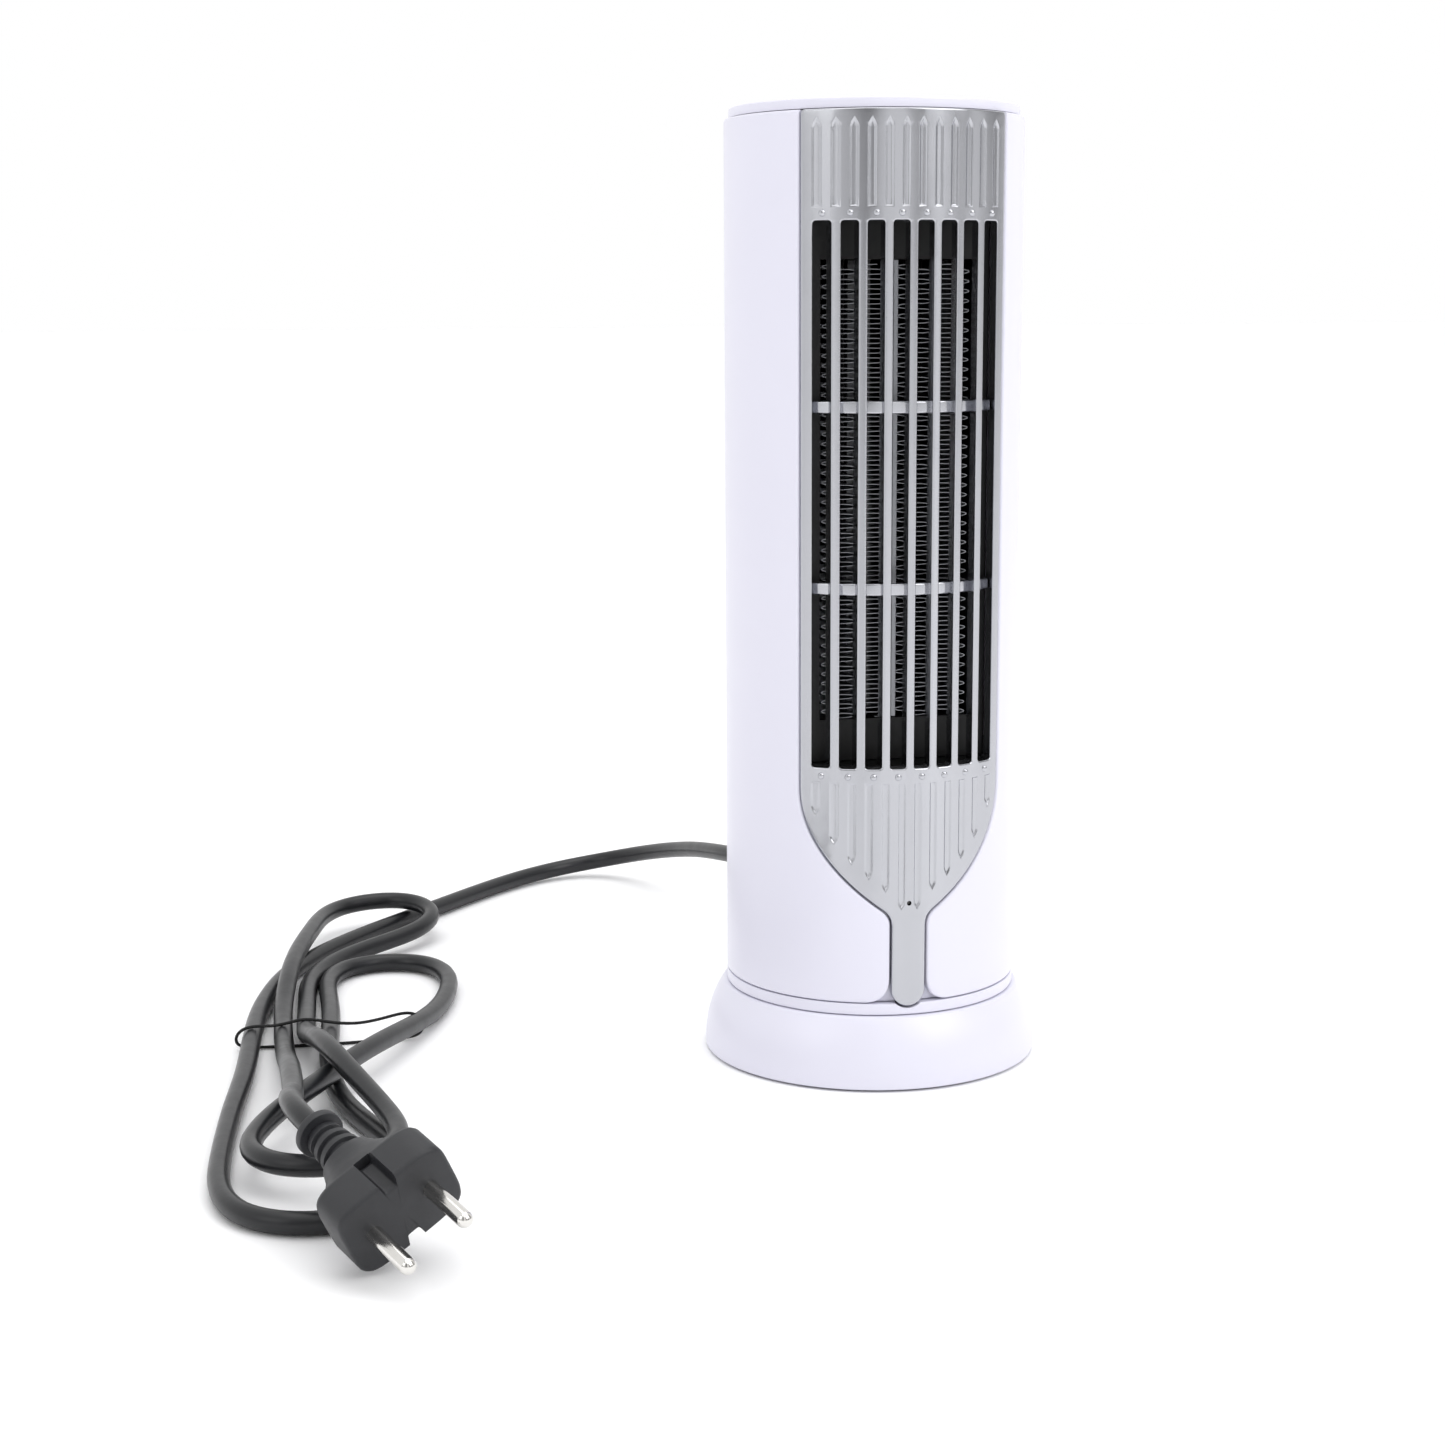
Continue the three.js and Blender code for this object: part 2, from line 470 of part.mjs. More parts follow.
// ---------------------------------------------------------------- housing
function housing() {
  const ringOut = ring(SHELL_INNER, BODY_RADIUS, SHELL_BOTTOM, BODY_TOP);
  const floorHalf = PANEL_HALF_WIDTH + PANEL_SEAM + WALL;
  const pocketFloor = ring(POCKET_INNER, SHELL_INNER + 0.2, SHELL_BOTTOM, BODY_TOP)
    .intersect(box(-floorHalf, floorHalf, FRONT_REACH, 0, 0, 2 * BODY_TOP));
  const pocket = cut(
    join(
      through(panelOutline(PANEL_SEAM), FRONT_REACH, 0),
      through(shellCorners(), FRONT_REACH, 0)),
    disc(POCKET_FLOOR, 0, 2 * BODY_TOP));
  const windowHalf = BAR_FIELD_HALF + PANEL_SEAM;
  const window = box(-windowHalf, windowHalf, FRONT_REACH, 0,
    FIELD_BOTTOM - PANEL_SEAM, FIELD_TOP + PANEL_SEAM);
  const lampHole = pinAlongY(LAMP_SEAT_RADIUS + GAP, FRONT_REACH, 0, 0, LAMP_LEVEL);
  place('front_shell', cut(
    join(ringOut, pocketFloor), pocket, window, lampHole, rearWedge(GAP)), WHITE_ABS);

  const padHalfWidth = SWITCH_BEZEL.halfWidth + SWITCH_PAD.margin;
  const padHalfHeight = SWITCH_BEZEL.halfHeight + SWITCH_PAD.margin;
  const switchPad = box(-padHalfWidth, padHalfWidth, SHELL_INNER - WALL, SWITCH_FACE,
    SWITCH_LEVEL - padHalfHeight, SWITCH_LEVEL + padHalfHeight);
  const switchHole = box(
    -SWITCH_BODY.halfWidth - GAP, SWITCH_BODY.halfWidth + GAP, 0, 2 * BODY_RADIUS,
    SWITCH_LEVEL - SWITCH_BODY.halfHeight - GAP, SWITCH_LEVEL + SWITCH_BODY.halfHeight + GAP);
  const glandHole = pinAlongY(GLAND_NECK + GAP, 0, 2 * BODY_RADIUS, 0, GLAND_LEVEL);
  let cover = join(ringOut.intersect(rearWedge(0)), switchPad);
  const tools = [switchHole, glandHole];
  const intakeBottom = FAN_BOTTOM + INTAKE_MARGIN.bottom;
  const intakeHeight = FAN_TOP - INTAKE_MARGIN.top - intakeBottom;
  const rowPitch = (intakeHeight + INTAKE_ROW_GAP) / INTAKE_ROW_COUNT;
  for (let row = 0; row < INTAKE_ROW_COUNT; row++) {
    const low = intakeBottom + row * rowPitch;
    const high = low + rowPitch - INTAKE_ROW_GAP;
    for (let i = 0; i < INTAKE_COLUMNS; i++) {
      const x = (i - (INTAKE_COLUMNS - 1) / 2) * INTAKE_PITCH;
      tools.push(box(x - INTAKE_WIDTH / 2, x + INTAKE_WIDTH / 2, 0, 2 * BODY_RADIUS, low, high));
    }
  }
  const seat = BOSS_BACK + WALL;
  let number = 1;
  for (const level of REAR_SCREW_LEVELS) {
    for (const side of [-1, 1]) {
      const x = side * REAR_SCREW_X;
      const boss = pinAlongY(SCREW_HEAD_RADIUS + WALL, BOSS_BACK, BODY_RADIUS, x, level)
        .intersect(disc(BODY_RADIUS, 0, BODY_TOP));
      cover = cover.add(boss);
      tools.push(pinAlongY(SCREW_HEAD_RADIUS + GAP, seat, BODY_RADIUS, x, level));
      tools.push(pinAlongY(SCREW_SHANK_RADIUS + GAP, 0, BODY_RADIUS, x, level));
      const tip = BOSS_BACK - SCREW_LENGTH;
      place(`rear_screw_${number++}`, turnedAlongY([
        [0, tip], [SCREW_SHANK_RADIUS, tip], [SCREW_SHANK_RADIUS, seat + GAP],
        [SCREW_HEAD_RADIUS, seat + GAP], [SCREW_HEAD_RADIUS, seat + GAP + SCREW_HEAD_HEIGHT],
        [0, seat + GAP + SCREW_HEAD_HEIGHT],
      ], x, level), STEEL);
    }
  }
  place('rear_cover', cut(cover, ...tools), WHITE_ABS);

  const capRadius = BODY_RADIUS - CAP_INSET;
  const capBottom = BODY_TOP + GAP;
  const capTop = capBottom + CAP_THICKNESS;
  const spigotOuter = POCKET_INNER - GAP;
  place('top_cap', turned([
    [0, capBottom], [spigotOuter - WALL, capBottom], [spigotOuter - WALL, BODY_TOP - CAP_SPIGOT],
    [spigotOuter, BODY_TOP - CAP_SPIGOT], [spigotOuter, capBottom], [capRadius, capBottom],
    [capRadius, capTop - CAP_EDGE], [capRadius - CAP_EDGE * 0.3, capTop - CAP_EDGE * 0.3],
    [capRadius - CAP_EDGE, capTop], [0, capTop],
  ]), WHITE_ABS);
}

// ---------------------------------------------------------------- chrome panel and lamp
function chromePanel() {
  const skin = ring(BODY_RADIUS - PANEL_THICKNESS, BODY_RADIUS, STRIP_END, BODY_TOP)
    .intersect(through(panelOutline(), FRONT_REACH, 0));
  const field = ring(BODY_RADIUS - BAR_DEPTH, BODY_RADIUS - FLUTE_DEPTH, FIELD_BOTTOM, FIELD_TOP)
    .intersect(box(-BAR_FIELD_HALF, BAR_FIELD_HALF, FRONT_REACH, 0, 0, BODY_TOP));

  const tools = [];
  for (let i = 0; i < SLOT_COUNT; i++) {
    const x = (i - (SLOT_COUNT - 1) / 2) * SLOT_PITCH;
    tools.push(box(x - SLOT_WIDTH / 2, x + SLOT_WIDTH / 2, FRONT_REACH, 0, SLOT_BOTTOM, SLOT_TOP));
  }
  const grooveFloor = disc(BODY_RADIUS - FLUTE_DEPTH, 0, BODY_TOP);
  const half = FLUTE_WIDTH / 2;
  const flutes = [];
  for (let i = 0; i < FLUTE_COUNT; i++) {
    const x = (i - (FLUTE_COUNT - 1) / 2) * FLUTE_PITCH;
    const bottom = SLOT_TOP + UPPER_FLUTE.aboveSlots;
    const top = BODY_TOP - UPPER_FLUTE.belowTop;
    const shoulder = top - UPPER_FLUTE.point;
    flutes.push(through(outline([
      [x - half, bottom], [x + half, bottom], [x + half, shoulder], [x, top], [x - half, shoulder],
    ]), FRONT_REACH, 0));
    const reach = ogiveLevel(Math.abs(x) + half) + LOWER_FLUTE_MARGIN;
    flutes.push(box(x - half, x + half, FRONT_REACH, 0, reach, FIELD_BOTTOM));
  }
  tools.push(cut(join(...flutes), grooveFloor));
  tools.push(pinAlongY(LAMP_HOLE_RADIUS, FRONT_REACH, 0, 0, LAMP_LEVEL));

  // The cross-bars part the slots into equal windows.
  const openHeight = SLOT_TOP - SLOT_BOTTOM - CROSS_BAR_COUNT * CROSS_BAR_HEIGHT;
  const crossBarPitch = openHeight / (CROSS_BAR_COUNT + 1) + CROSS_BAR_HEIGHT;
  const crossBars = [];
  for (let i = 1; i <= CROSS_BAR_COUNT; i++) {
    const top = SLOT_BOTTOM + i * crossBarPitch;
    crossBars.push(
      ring(BODY_RADIUS - BAR_DEPTH, BODY_RADIUS - CROSS_BAR_RECESS, top - CROSS_BAR_HEIGHT, top)
        .intersect(box(-BAR_FIELD_HALF, BAR_FIELD_HALF, FRONT_REACH, 0, 0, BODY_TOP)));
  }
  place('front_grille', join(cut(join(skin, field), ...tools), ...crossBars), CHROME);

  const seatFront = -(POCKET_FLOOR - GAP);
  const lensBack = -(POCKET_INNER - GAP) + 1;
  const boardFront = lensBack + GAP;
  const nose = LAMP_HOLE_RADIUS - GAP;
  place('indicator_lens', turnedAlongY([
    [0, -(BODY_RADIUS - 1)], [nose, -(BODY_RADIUS - 1)], [nose, seatFront],
    [LAMP_SEAT_RADIUS, seatFront], [LAMP_SEAT_RADIUS, lensBack], [0, lensBack],
  ], 0, LAMP_LEVEL), LENS);
  place('indicator_board', box(
    -LAMP_BOARD.halfWidth, LAMP_BOARD.halfWidth, boardFront, boardFront + LAMP_BOARD.thickness,
    LAMP_LEVEL - LAMP_BOARD.halfHeight, LAMP_LEVEL + LAMP_BOARD.halfHeight), GREY_PLASTIC);
}

// Height of the panel's curved lower edge at a distance x from the middle.
function ogiveLevel(x) {
  const steps = 40;
  for (let i = 0; i <= steps; i++) {
    const t = i / steps;
    const edgeX = (1 - t) ** 2 * PANEL_HALF_WIDTH + 2 * t * (1 - t) * PANEL_HALF_WIDTH
      + t * t * SHOULDER.x;
    const edgeZ = (1 - t) ** 2 * OGIVE_TOP + 2 * t * (1 - t) * OGIVE_CONTROL + t * t * SHOULDER.z;
    if (edgeX <= x) return edgeZ;
  }
  return SHOULDER.z;
}

// ---------------------------------------------------------------- decks, legs and air guides
function decks() {
  const axis = { x: 0, y: FAN_AXIS_Y, steps: SMALL_STEPS };
  const screwSpots = motorScrewSpots();
  const motorHoles = screwSpots.map((spot) => disc(SCREW_SHANK_RADIUS + GAP, 0, BODY_TOP, spot));
  place('lower_deck', cut(
    disc(DECK_RADIUS, LOWER_DECK_BOTTOM, LOWER_DECK_TOP),
    disc(SHAFT_RADIUS + 2, 0, BODY_TOP, axis), ...motorHoles), BLACK_PLASTIC);

  const lugs = [-1, 1].map((side) => rearLug(side, REAR_SCREW_LEVELS[1], UPPER_DECK_TOP - 1));
  const pilots = [-1, 1].map((side) => pinAlongY(
    SCREW_SHANK_RADIUS + GAP, 0, BODY_RADIUS, side * REAR_SCREW_X, REAR_SCREW_LEVELS[1]));
  place('upper_deck', cut(
    join(disc(DECK_RADIUS, UPPER_DECK_BOTTOM, UPPER_DECK_TOP), ...lugs), ...pilots,
    disc(BUSH_RADIUS + GAP, 0, BODY_TOP, axis)), BLACK_PLASTIC);
  const bore = PIVOT_RADIUS + RUNNING_GAP;
  const flange = BUSH_RADIUS + BUSH_FLANGE;
  const flangeTop = UPPER_DECK_TOP + BUSH_FLANGE;
  place('top_bush', turned([
    [bore, UPPER_DECK_BOTTOM], [BUSH_RADIUS, UPPER_DECK_BOTTOM],
    [BUSH_RADIUS, UPPER_DECK_TOP + GAP], [flange, UPPER_DECK_TOP + GAP],
    [flange, flangeTop], [bore, flangeTop],
  ], axis), ALUMINIUM);

  LEG_ANGLES.forEach((degrees, i) => {
    const angle = degrees * DEGREE;
    const spot = {
      x: LEG_CIRCLE * Math.sin(angle), y: -LEG_CIRCLE * Math.cos(angle), steps: SMALL_STEPS,
    };
    place(`deck_leg_${i + 1}`, disc(
      LEG_RADIUS, COLLAR_PLATE_TOP + GAP, LOWER_DECK_BOTTOM - GAP, spot), BLACK_PLASTIC);
  });

  // The guide wraps round the wheel's right side and back; the tongue stands close on its left.
  const guideBottom = LOWER_DECK_TOP + GAP;
  const guideTop = UPPER_DECK_BOTTOM - GAP;
  const frontEdge = HEATER_FRONT + HEATER_DEPTH + 1;
  const fromWheel = (dx, dy) => [
    dx === 0 ? 0 : Math.sign(dx) * FAN_RADIUS + dx, FAN_AXIS_Y + dy,
  ];
  place('air_guide', upright(ribbon([
    [FAN_RADIUS + 7, frontEdge], fromWheel(9.5, -10), fromWheel(8.5, 5), fromWheel(2, 19),
    [9, FAN_AXIS_Y + FAN_RADIUS + 4.5],
  ], GUIDE_THICKNESS), guideBottom, guideTop), BLACK_PLASTIC);
  place('air_tongue', upright(ribbon([
    [-FAN_RADIUS - 7, frontEdge], fromWheel(-5.5, -17), fromWheel(-3.5, -7), fromWheel(-6.5, 0),
    fromWheel(-13, 2),
  ], GUIDE_THICKNESS), guideBottom, guideTop), BLACK_PLASTIC);
}

// A plan outline of even thickness along a smooth line.
function ribbon(points, thickness, steps = 14) {
  const line = new THREE.SplineCurve(points.map(([x, y]) => new THREE.Vector2(x, y)));
  const left = [];
  const right = [];
  for (let i = 0; i <= steps; i++) {
    const at = line.getPoint(i / steps);
    const along = line.getTangent(i / steps);
    left.push([at.x - along.y * thickness / 2, at.y + along.x * thickness / 2]);
    right.unshift([at.x + along.y * thickness / 2, at.y - along.x * thickness / 2]);
  }
  return outline([...left, ...right]);
}

// ---------------------------------------------------------------- heater
function heater() {
  const back = HEATER_FRONT + HEATER_DEPTH;
  const halfWidth = HEATER_WINDOW_HALF;
  const bottom = WINDOW_BOTTOM;
  const top = WINDOW_TOP;
  place('heater_frame', cut(
    box(-HEATER_HALF_WIDTH, HEATER_HALF_WIDTH, HEATER_FRONT, back,
      LOWER_DECK_TOP + GAP, UPPER_DECK_BOTTOM - GAP),
    box(-halfWidth, halfWidth, HEATER_FRONT - 1, back + 1, bottom, top)), BLACK_PLASTIC);

  const finFront = HEATER_FRONT + (HEATER_DEPTH - FIN_DEPTH) / 2;
  const finHalf = (FIN_PITCH_ACROSS - TUBE_THICKNESS) / 2 - GAP;
  for (let i = 0; i < FIN_COUNT; i++) {
    const x = (i - (FIN_COUNT - 1) / 2) * FIN_PITCH_ACROSS;
    place(`fin_strip_${i + 1}`, through(
      foldedFin(x, finHalf, bottom + GAP, top - GAP), finFront, finFront + FIN_DEPTH), ALUMINIUM);
  }
  for (let i = 1; i < FIN_COUNT; i++) {
    const x = (i - FIN_COUNT / 2) * FIN_PITCH_ACROSS;
    place(`heater_tube_${i}`, box(x - TUBE_THICKNESS / 2, x + TUBE_THICKNESS / 2,
      finFront, finFront + FIN_DEPTH, bottom + GAP, top - GAP), ALUMINIUM);
  }

  const cutoutLevel = (top + UPPER_DECK_BOTTOM) / 2;
  place('thermal_cutout', pinAlongY(
    CUTOUT.radius, back + GAP, back + GAP + CUTOUT.height, CUTOUT.x, cutoutLevel), STEEL);
}

// A sheet folded to and fro up the strip, seen from the front.
function foldedFin(x, half, bottom, top) {
  const folds = 2 * Math.floor((top - bottom) / FIN_WAVE);
  const rise = (top - bottom) / folds;
  const web = FIN_SHEET * 2 * half / rise; // width that a sloping sheet shows along X
  const right = [];
  const left = [];
  for (let i = 0; i <= folds; i++) {
    const level = bottom + i * rise;
    const atRight = i % 2 === 1;
    right.push([atRight ? x + half : x - half + web, level]);
    left.unshift([atRight ? x + half - web : x - half, level]);
  }
  return outline([...right, ...left]);
}

// ---------------------------------------------------------------- fan and motor
function motorScrewSpots() {
  return [0, 1, 2].map((i) => {
    const angle = (30 + i * 120) * DEGREE;
    const circle = MOTOR_RADIUS + WALL + GAP + SCREW_HEAD_RADIUS + 0.5;
    return {
      x: circle * Math.cos(angle), y: FAN_AXIS_Y + circle * Math.sin(angle), steps: SMALL_STEPS,
    };
  });
}

function fan() {
  const axis = { x: 0, y: FAN_AXIS_Y };
  const smallAxis = { ...axis, steps: SMALL_STEPS };
  const wheelAxis = { ...axis, steps: 32 };
  const socketTop = FAN_BOTTOM + HUB_SOCKET;
  const hub = disc(HUB_RADIUS, FAN_BOTTOM, socketTop + FAN_DISC, smallAxis);
  const pivot = disc(PIVOT_RADIUS, FAN_TOP - FAN_DISC, UPPER_DECK_TOP + 1, smallAxis);
  const lowDisc = disc(FAN_RADIUS, FAN_BOTTOM, FAN_BOTTOM + FAN_DISC, wheelAxis);
  const highDisc = disc(FAN_RADIUS, FAN_TOP - FAN_DISC, FAN_TOP, wheelAxis);
  const blades = [];
  for (let i = 0; i < BLADE_COUNT; i++) {
    const blade = new THREE.BoxGeometry(
      BLADE_CHORD, BLADE_THICKNESS, FAN_TOP - FAN_BOTTOM - FAN_DISC);
    blade.rotateZ(BLADE_SWEEP * DEGREE);
    blade.translate(FAN_RADIUS - BLADE_CHORD / 2 - 0.5, 0, (FAN_TOP + FAN_BOTTOM) / 2);
    blade.rotateZ(i * 360 / BLADE_COUNT * DEGREE);
    blade.translate(axis.x, axis.y, 0);
    blades.push(solid(blade));
  }
  place('fan_wheel', cut(
    join(lowDisc, highDisc, hub, pivot, ...blades),
    disc(SHAFT_RADIUS + GAP, 0, socketTop, smallAxis)), BLACK_PLASTIC);

  const motorTop = LOWER_DECK_BOTTOM - MOTOR_BELOW_DECK;
  const motorBottom = motorTop - MOTOR_HEIGHT;
  const shaftBottom = motorTop - SHAFT_IN_MOTOR;
  place('motor_shaft', disc(SHAFT_RADIUS, shaftBottom, socketTop - GAP, smallAxis), STEEL);
  place('motor_body', cut(
    disc(MOTOR_RADIUS, motorBottom, motorTop, { ...axis, steps: 36 }),
    disc(SHAFT_RADIUS + RUNNING_GAP, shaftBottom - 1, BODY_TOP, smallAxis)), STEEL);

  const cupInner = MOTOR_RADIUS + GAP;
  const cupOuter = cupInner + WALL;
  const flangeTop = LOWER_DECK_BOTTOM - GAP;
  const flangeBottom = flangeTop - WALL;
  const flangeRadius = cupOuter + 2 * SCREW_HEAD_RADIUS + 1;
  const cup = turned([
    [0, motorBottom - GAP - WALL], [cupOuter, motorBottom - GAP - WALL],
    [cupOuter, flangeBottom], [flangeRadius, flangeBottom], [flangeRadius, flangeTop],
    [cupInner, flangeTop], [cupInner, motorBottom - GAP], [0, motorBottom - GAP],
  ], { ...axis, steps: 36 });
  const spots = motorScrewSpots();
  const holes = spots.map((spot) => disc(SCREW_SHANK_RADIUS + GAP, 0, BODY_TOP, spot));
  place('motor_cup', cut(cup, ...holes), GREY_PLASTIC);
  spots.forEach((spot, i) => {
    const headTop = flangeBottom - GAP;
    const headBottom = headTop - SCREW_HEAD_HEIGHT;
    place(`motor_screw_${i + 1}`, turned([
      [0, headBottom], [SCREW_HEAD_RADIUS, headBottom], [SCREW_HEAD_RADIUS, headTop],
      [SCREW_SHANK_RADIUS, headTop], [SCREW_SHANK_RADIUS, LOWER_DECK_TOP - 1],
      [0, LOWER_DECK_TOP - 1],
    ], spot), STEEL);
  });
}

// ---------------------------------------------------------------- power switch
function powerSwitch() {
  const { halfWidth, halfHeight, depth } = SWITCH_BODY;
  const bezel = SWITCH_BEZEL;
  const front = SWITCH_FACE + GAP;
  const well = {
    x: ROCKER.halfWidth + RUNNING_GAP,
    z: ROCKER.halfHeight + RUNNING_GAP,
    floor: front - ROCKER.well,
  };
  place('switch_body', cut(
    join(
      box(-halfWidth, halfWidth, front - depth, front + 0.2,
        SWITCH_LEVEL - halfHeight, SWITCH_LEVEL + halfHeight),
      box(-bezel.halfWidth, bezel.halfWidth, front, front + bezel.thickness,
        SWITCH_LEVEL - bezel.halfHeight, SWITCH_LEVEL + bezel.halfHeight)),
    box(-well.x, well.x, well.floor, 2 * BODY_RADIUS,
      SWITCH_LEVEL - well.z, SWITCH_LEVEL + well.z)), BLACK_PLASTIC);

  // Side view of the rocker, drawn from its pivot: a shallow V above and a round heel below.
  const end = ROCKER.halfHeight - 0.5;
  const tip = bezel.thickness + ROCKER.rise - 0.4;
  const lip = bezel.thickness - 0.6;
  const profile = new THREE.Shape();
  profile.moveTo(-end, lip);
  profile.lineTo(-end, tip);
  profile.lineTo(0, lip + 1);
  profile.lineTo(end, tip);
  profile.lineTo(end, lip);
  profile.quadraticCurveTo(0, -2 * ROCKER.heel, -end, lip);
  const geometry = new THREE.ExtrudeGeometry(profile, {
    depth: 2 * ROCKER.halfWidth, bevelEnabled: false, curveSegments: 8,
  });
  geometry.translate(0, 0, -ROCKER.halfWidth);
  geometry.rotateZ(ROCKER.tilt * DEGREE);
  geometry.rotateY(-Math.PI / 2);
  geometry.translate(0, front, SWITCH_LEVEL);
  place('switch_rocker', solid(geometry), BLACK_PLASTIC);
}

// ---------------------------------------------------------------- gland and inner wiring
function wiring() {
  const flangeOut = BODY_RADIUS + GAP;
  const flangeFace = flangeOut + GLAND_FLANGE.thickness;
  const innerRadius = GLAND_NECK + GLAND_FLANGE.inner;
  const outerRadius = GLAND_NECK + GLAND_FLANGE.outer;
  const flangeIn = SHELL_INNER - 1;
  place('cord_gland', turnedAlongY([
    [0, GLAND_BACK], [innerRadius, GLAND_BACK], [innerRadius, flangeIn],
    [GLAND_NECK, flangeIn], [GLAND_NECK, flangeOut], [outerRadius, flangeOut],
    [outerRadius, flangeFace], [GLAND_NECK + 0.6, flangeFace + 1],
    [CORD_RADIUS + 0.9, GLAND_END], [0, GLAND_END],
  ], 0, GLAND_LEVEL), CORD_PVC);

  // From the back of the gland up to the underside of the switch.
  const start = GLAND_BACK - GAP;
  const riser = SWITCH_FACE + GAP - SWITCH_BODY.depth + 5;
  const switchBottom = SWITCH_LEVEL - SWITCH_BODY.halfHeight - GAP;
  place('inner_lead', tube([
    [0, start, GLAND_LEVEL], [0, start - 3, GLAND_LEVEL], [0, start - 6, GLAND_LEVEL + 3],
    [0, start - 7, GLAND_LEVEL + 12], [0, riser, switchBottom - 4], [0, riser, switchBottom],
  ], INNER_LEAD_RADIUS, CORD_SIDES, 6), CORD_PVC);

  // From under the heater's left end down behind the panel and round below the motor cup.
  place('heater_lead', tube([
    [-14, HEATER_FRONT - 3, LOWER_DECK_BOTTOM - 1], [-15, -32, 90], [-18, -28, 75],
    [-24, -18, 62], [-28, 0, 56], [-22, 16, 56], [-10, 20, 58],
  ], HEATER_LEAD_RADIUS, 6, 9), CORD_PVC);
}

// ---------------------------------------------------------------- mains lead, hank and tie
function mainsLead() {
  place('cord_run', tube(CORD_ROUTE, CORD_RADIUS), CORD_PVC);

  const [startX, startY] = HANK.start;
  const [endX, endY] = HANK.end;
  const length = Math.hypot(endX - startX, endY - startY);
  const hank = new THREE.Group();
  hank.position.set(startX, startY, 0);
  hank.rotation.z = Math.atan2(endY - startY, endX - startX);
  tower.add(hank);

  const stadium = (half) => {
    const shape = new THREE.Shape();
    shape.absarc(0, 0, half, Math.PI / 2, 3 * Math.PI / 2);
    shape.absarc(length, 0, half, -Math.PI / 2, Math.PI / 2);
    return shape;
  };
  const middle = TIE.along * length;
  const clear = TIE.width / 2 + GAP;
  const waist = TIE.thickness + GAP - TIE.proud;
  const across = HANK.halfWidth + TIE.proud;
  const over = HANK.top + TIE.proud;
  const groove = box(middle - clear, middle + clear, -2 * across, 2 * across, -over, 2 * over);
  const core = upright(stadium(HANK.halfWidth - waist), HANK.bottom + waist, HANK.top - waist);
  const low = HANK.bottom - GAP + 0.1;
  const strap = cut(
    box(middle - TIE.width / 2, middle + TIE.width / 2, -across, across, low, over),
    box(middle - TIE.width, middle + TIE.width, -across + TIE.thickness, across - TIE.thickness,
      low + TIE.thickness, over - TIE.thickness));
  place('cord_hank', join(
    cut(upright(stadium(HANK.halfWidth), HANK.bottom, HANK.top), groove), core), CORD_PVC, hank);
  place('cord_tie', strap, BLACK_RUBBER, hank);

  const belowHankTop = box(-400, 400, -400, 400, -HANK.top, HANK.top + GAP);
  place('cord_tail', cut(tube(TAIL_ROUTE, CORD_RADIUS, CORD_SIDES, 8), belowHankTop), CORD_PVC);
}

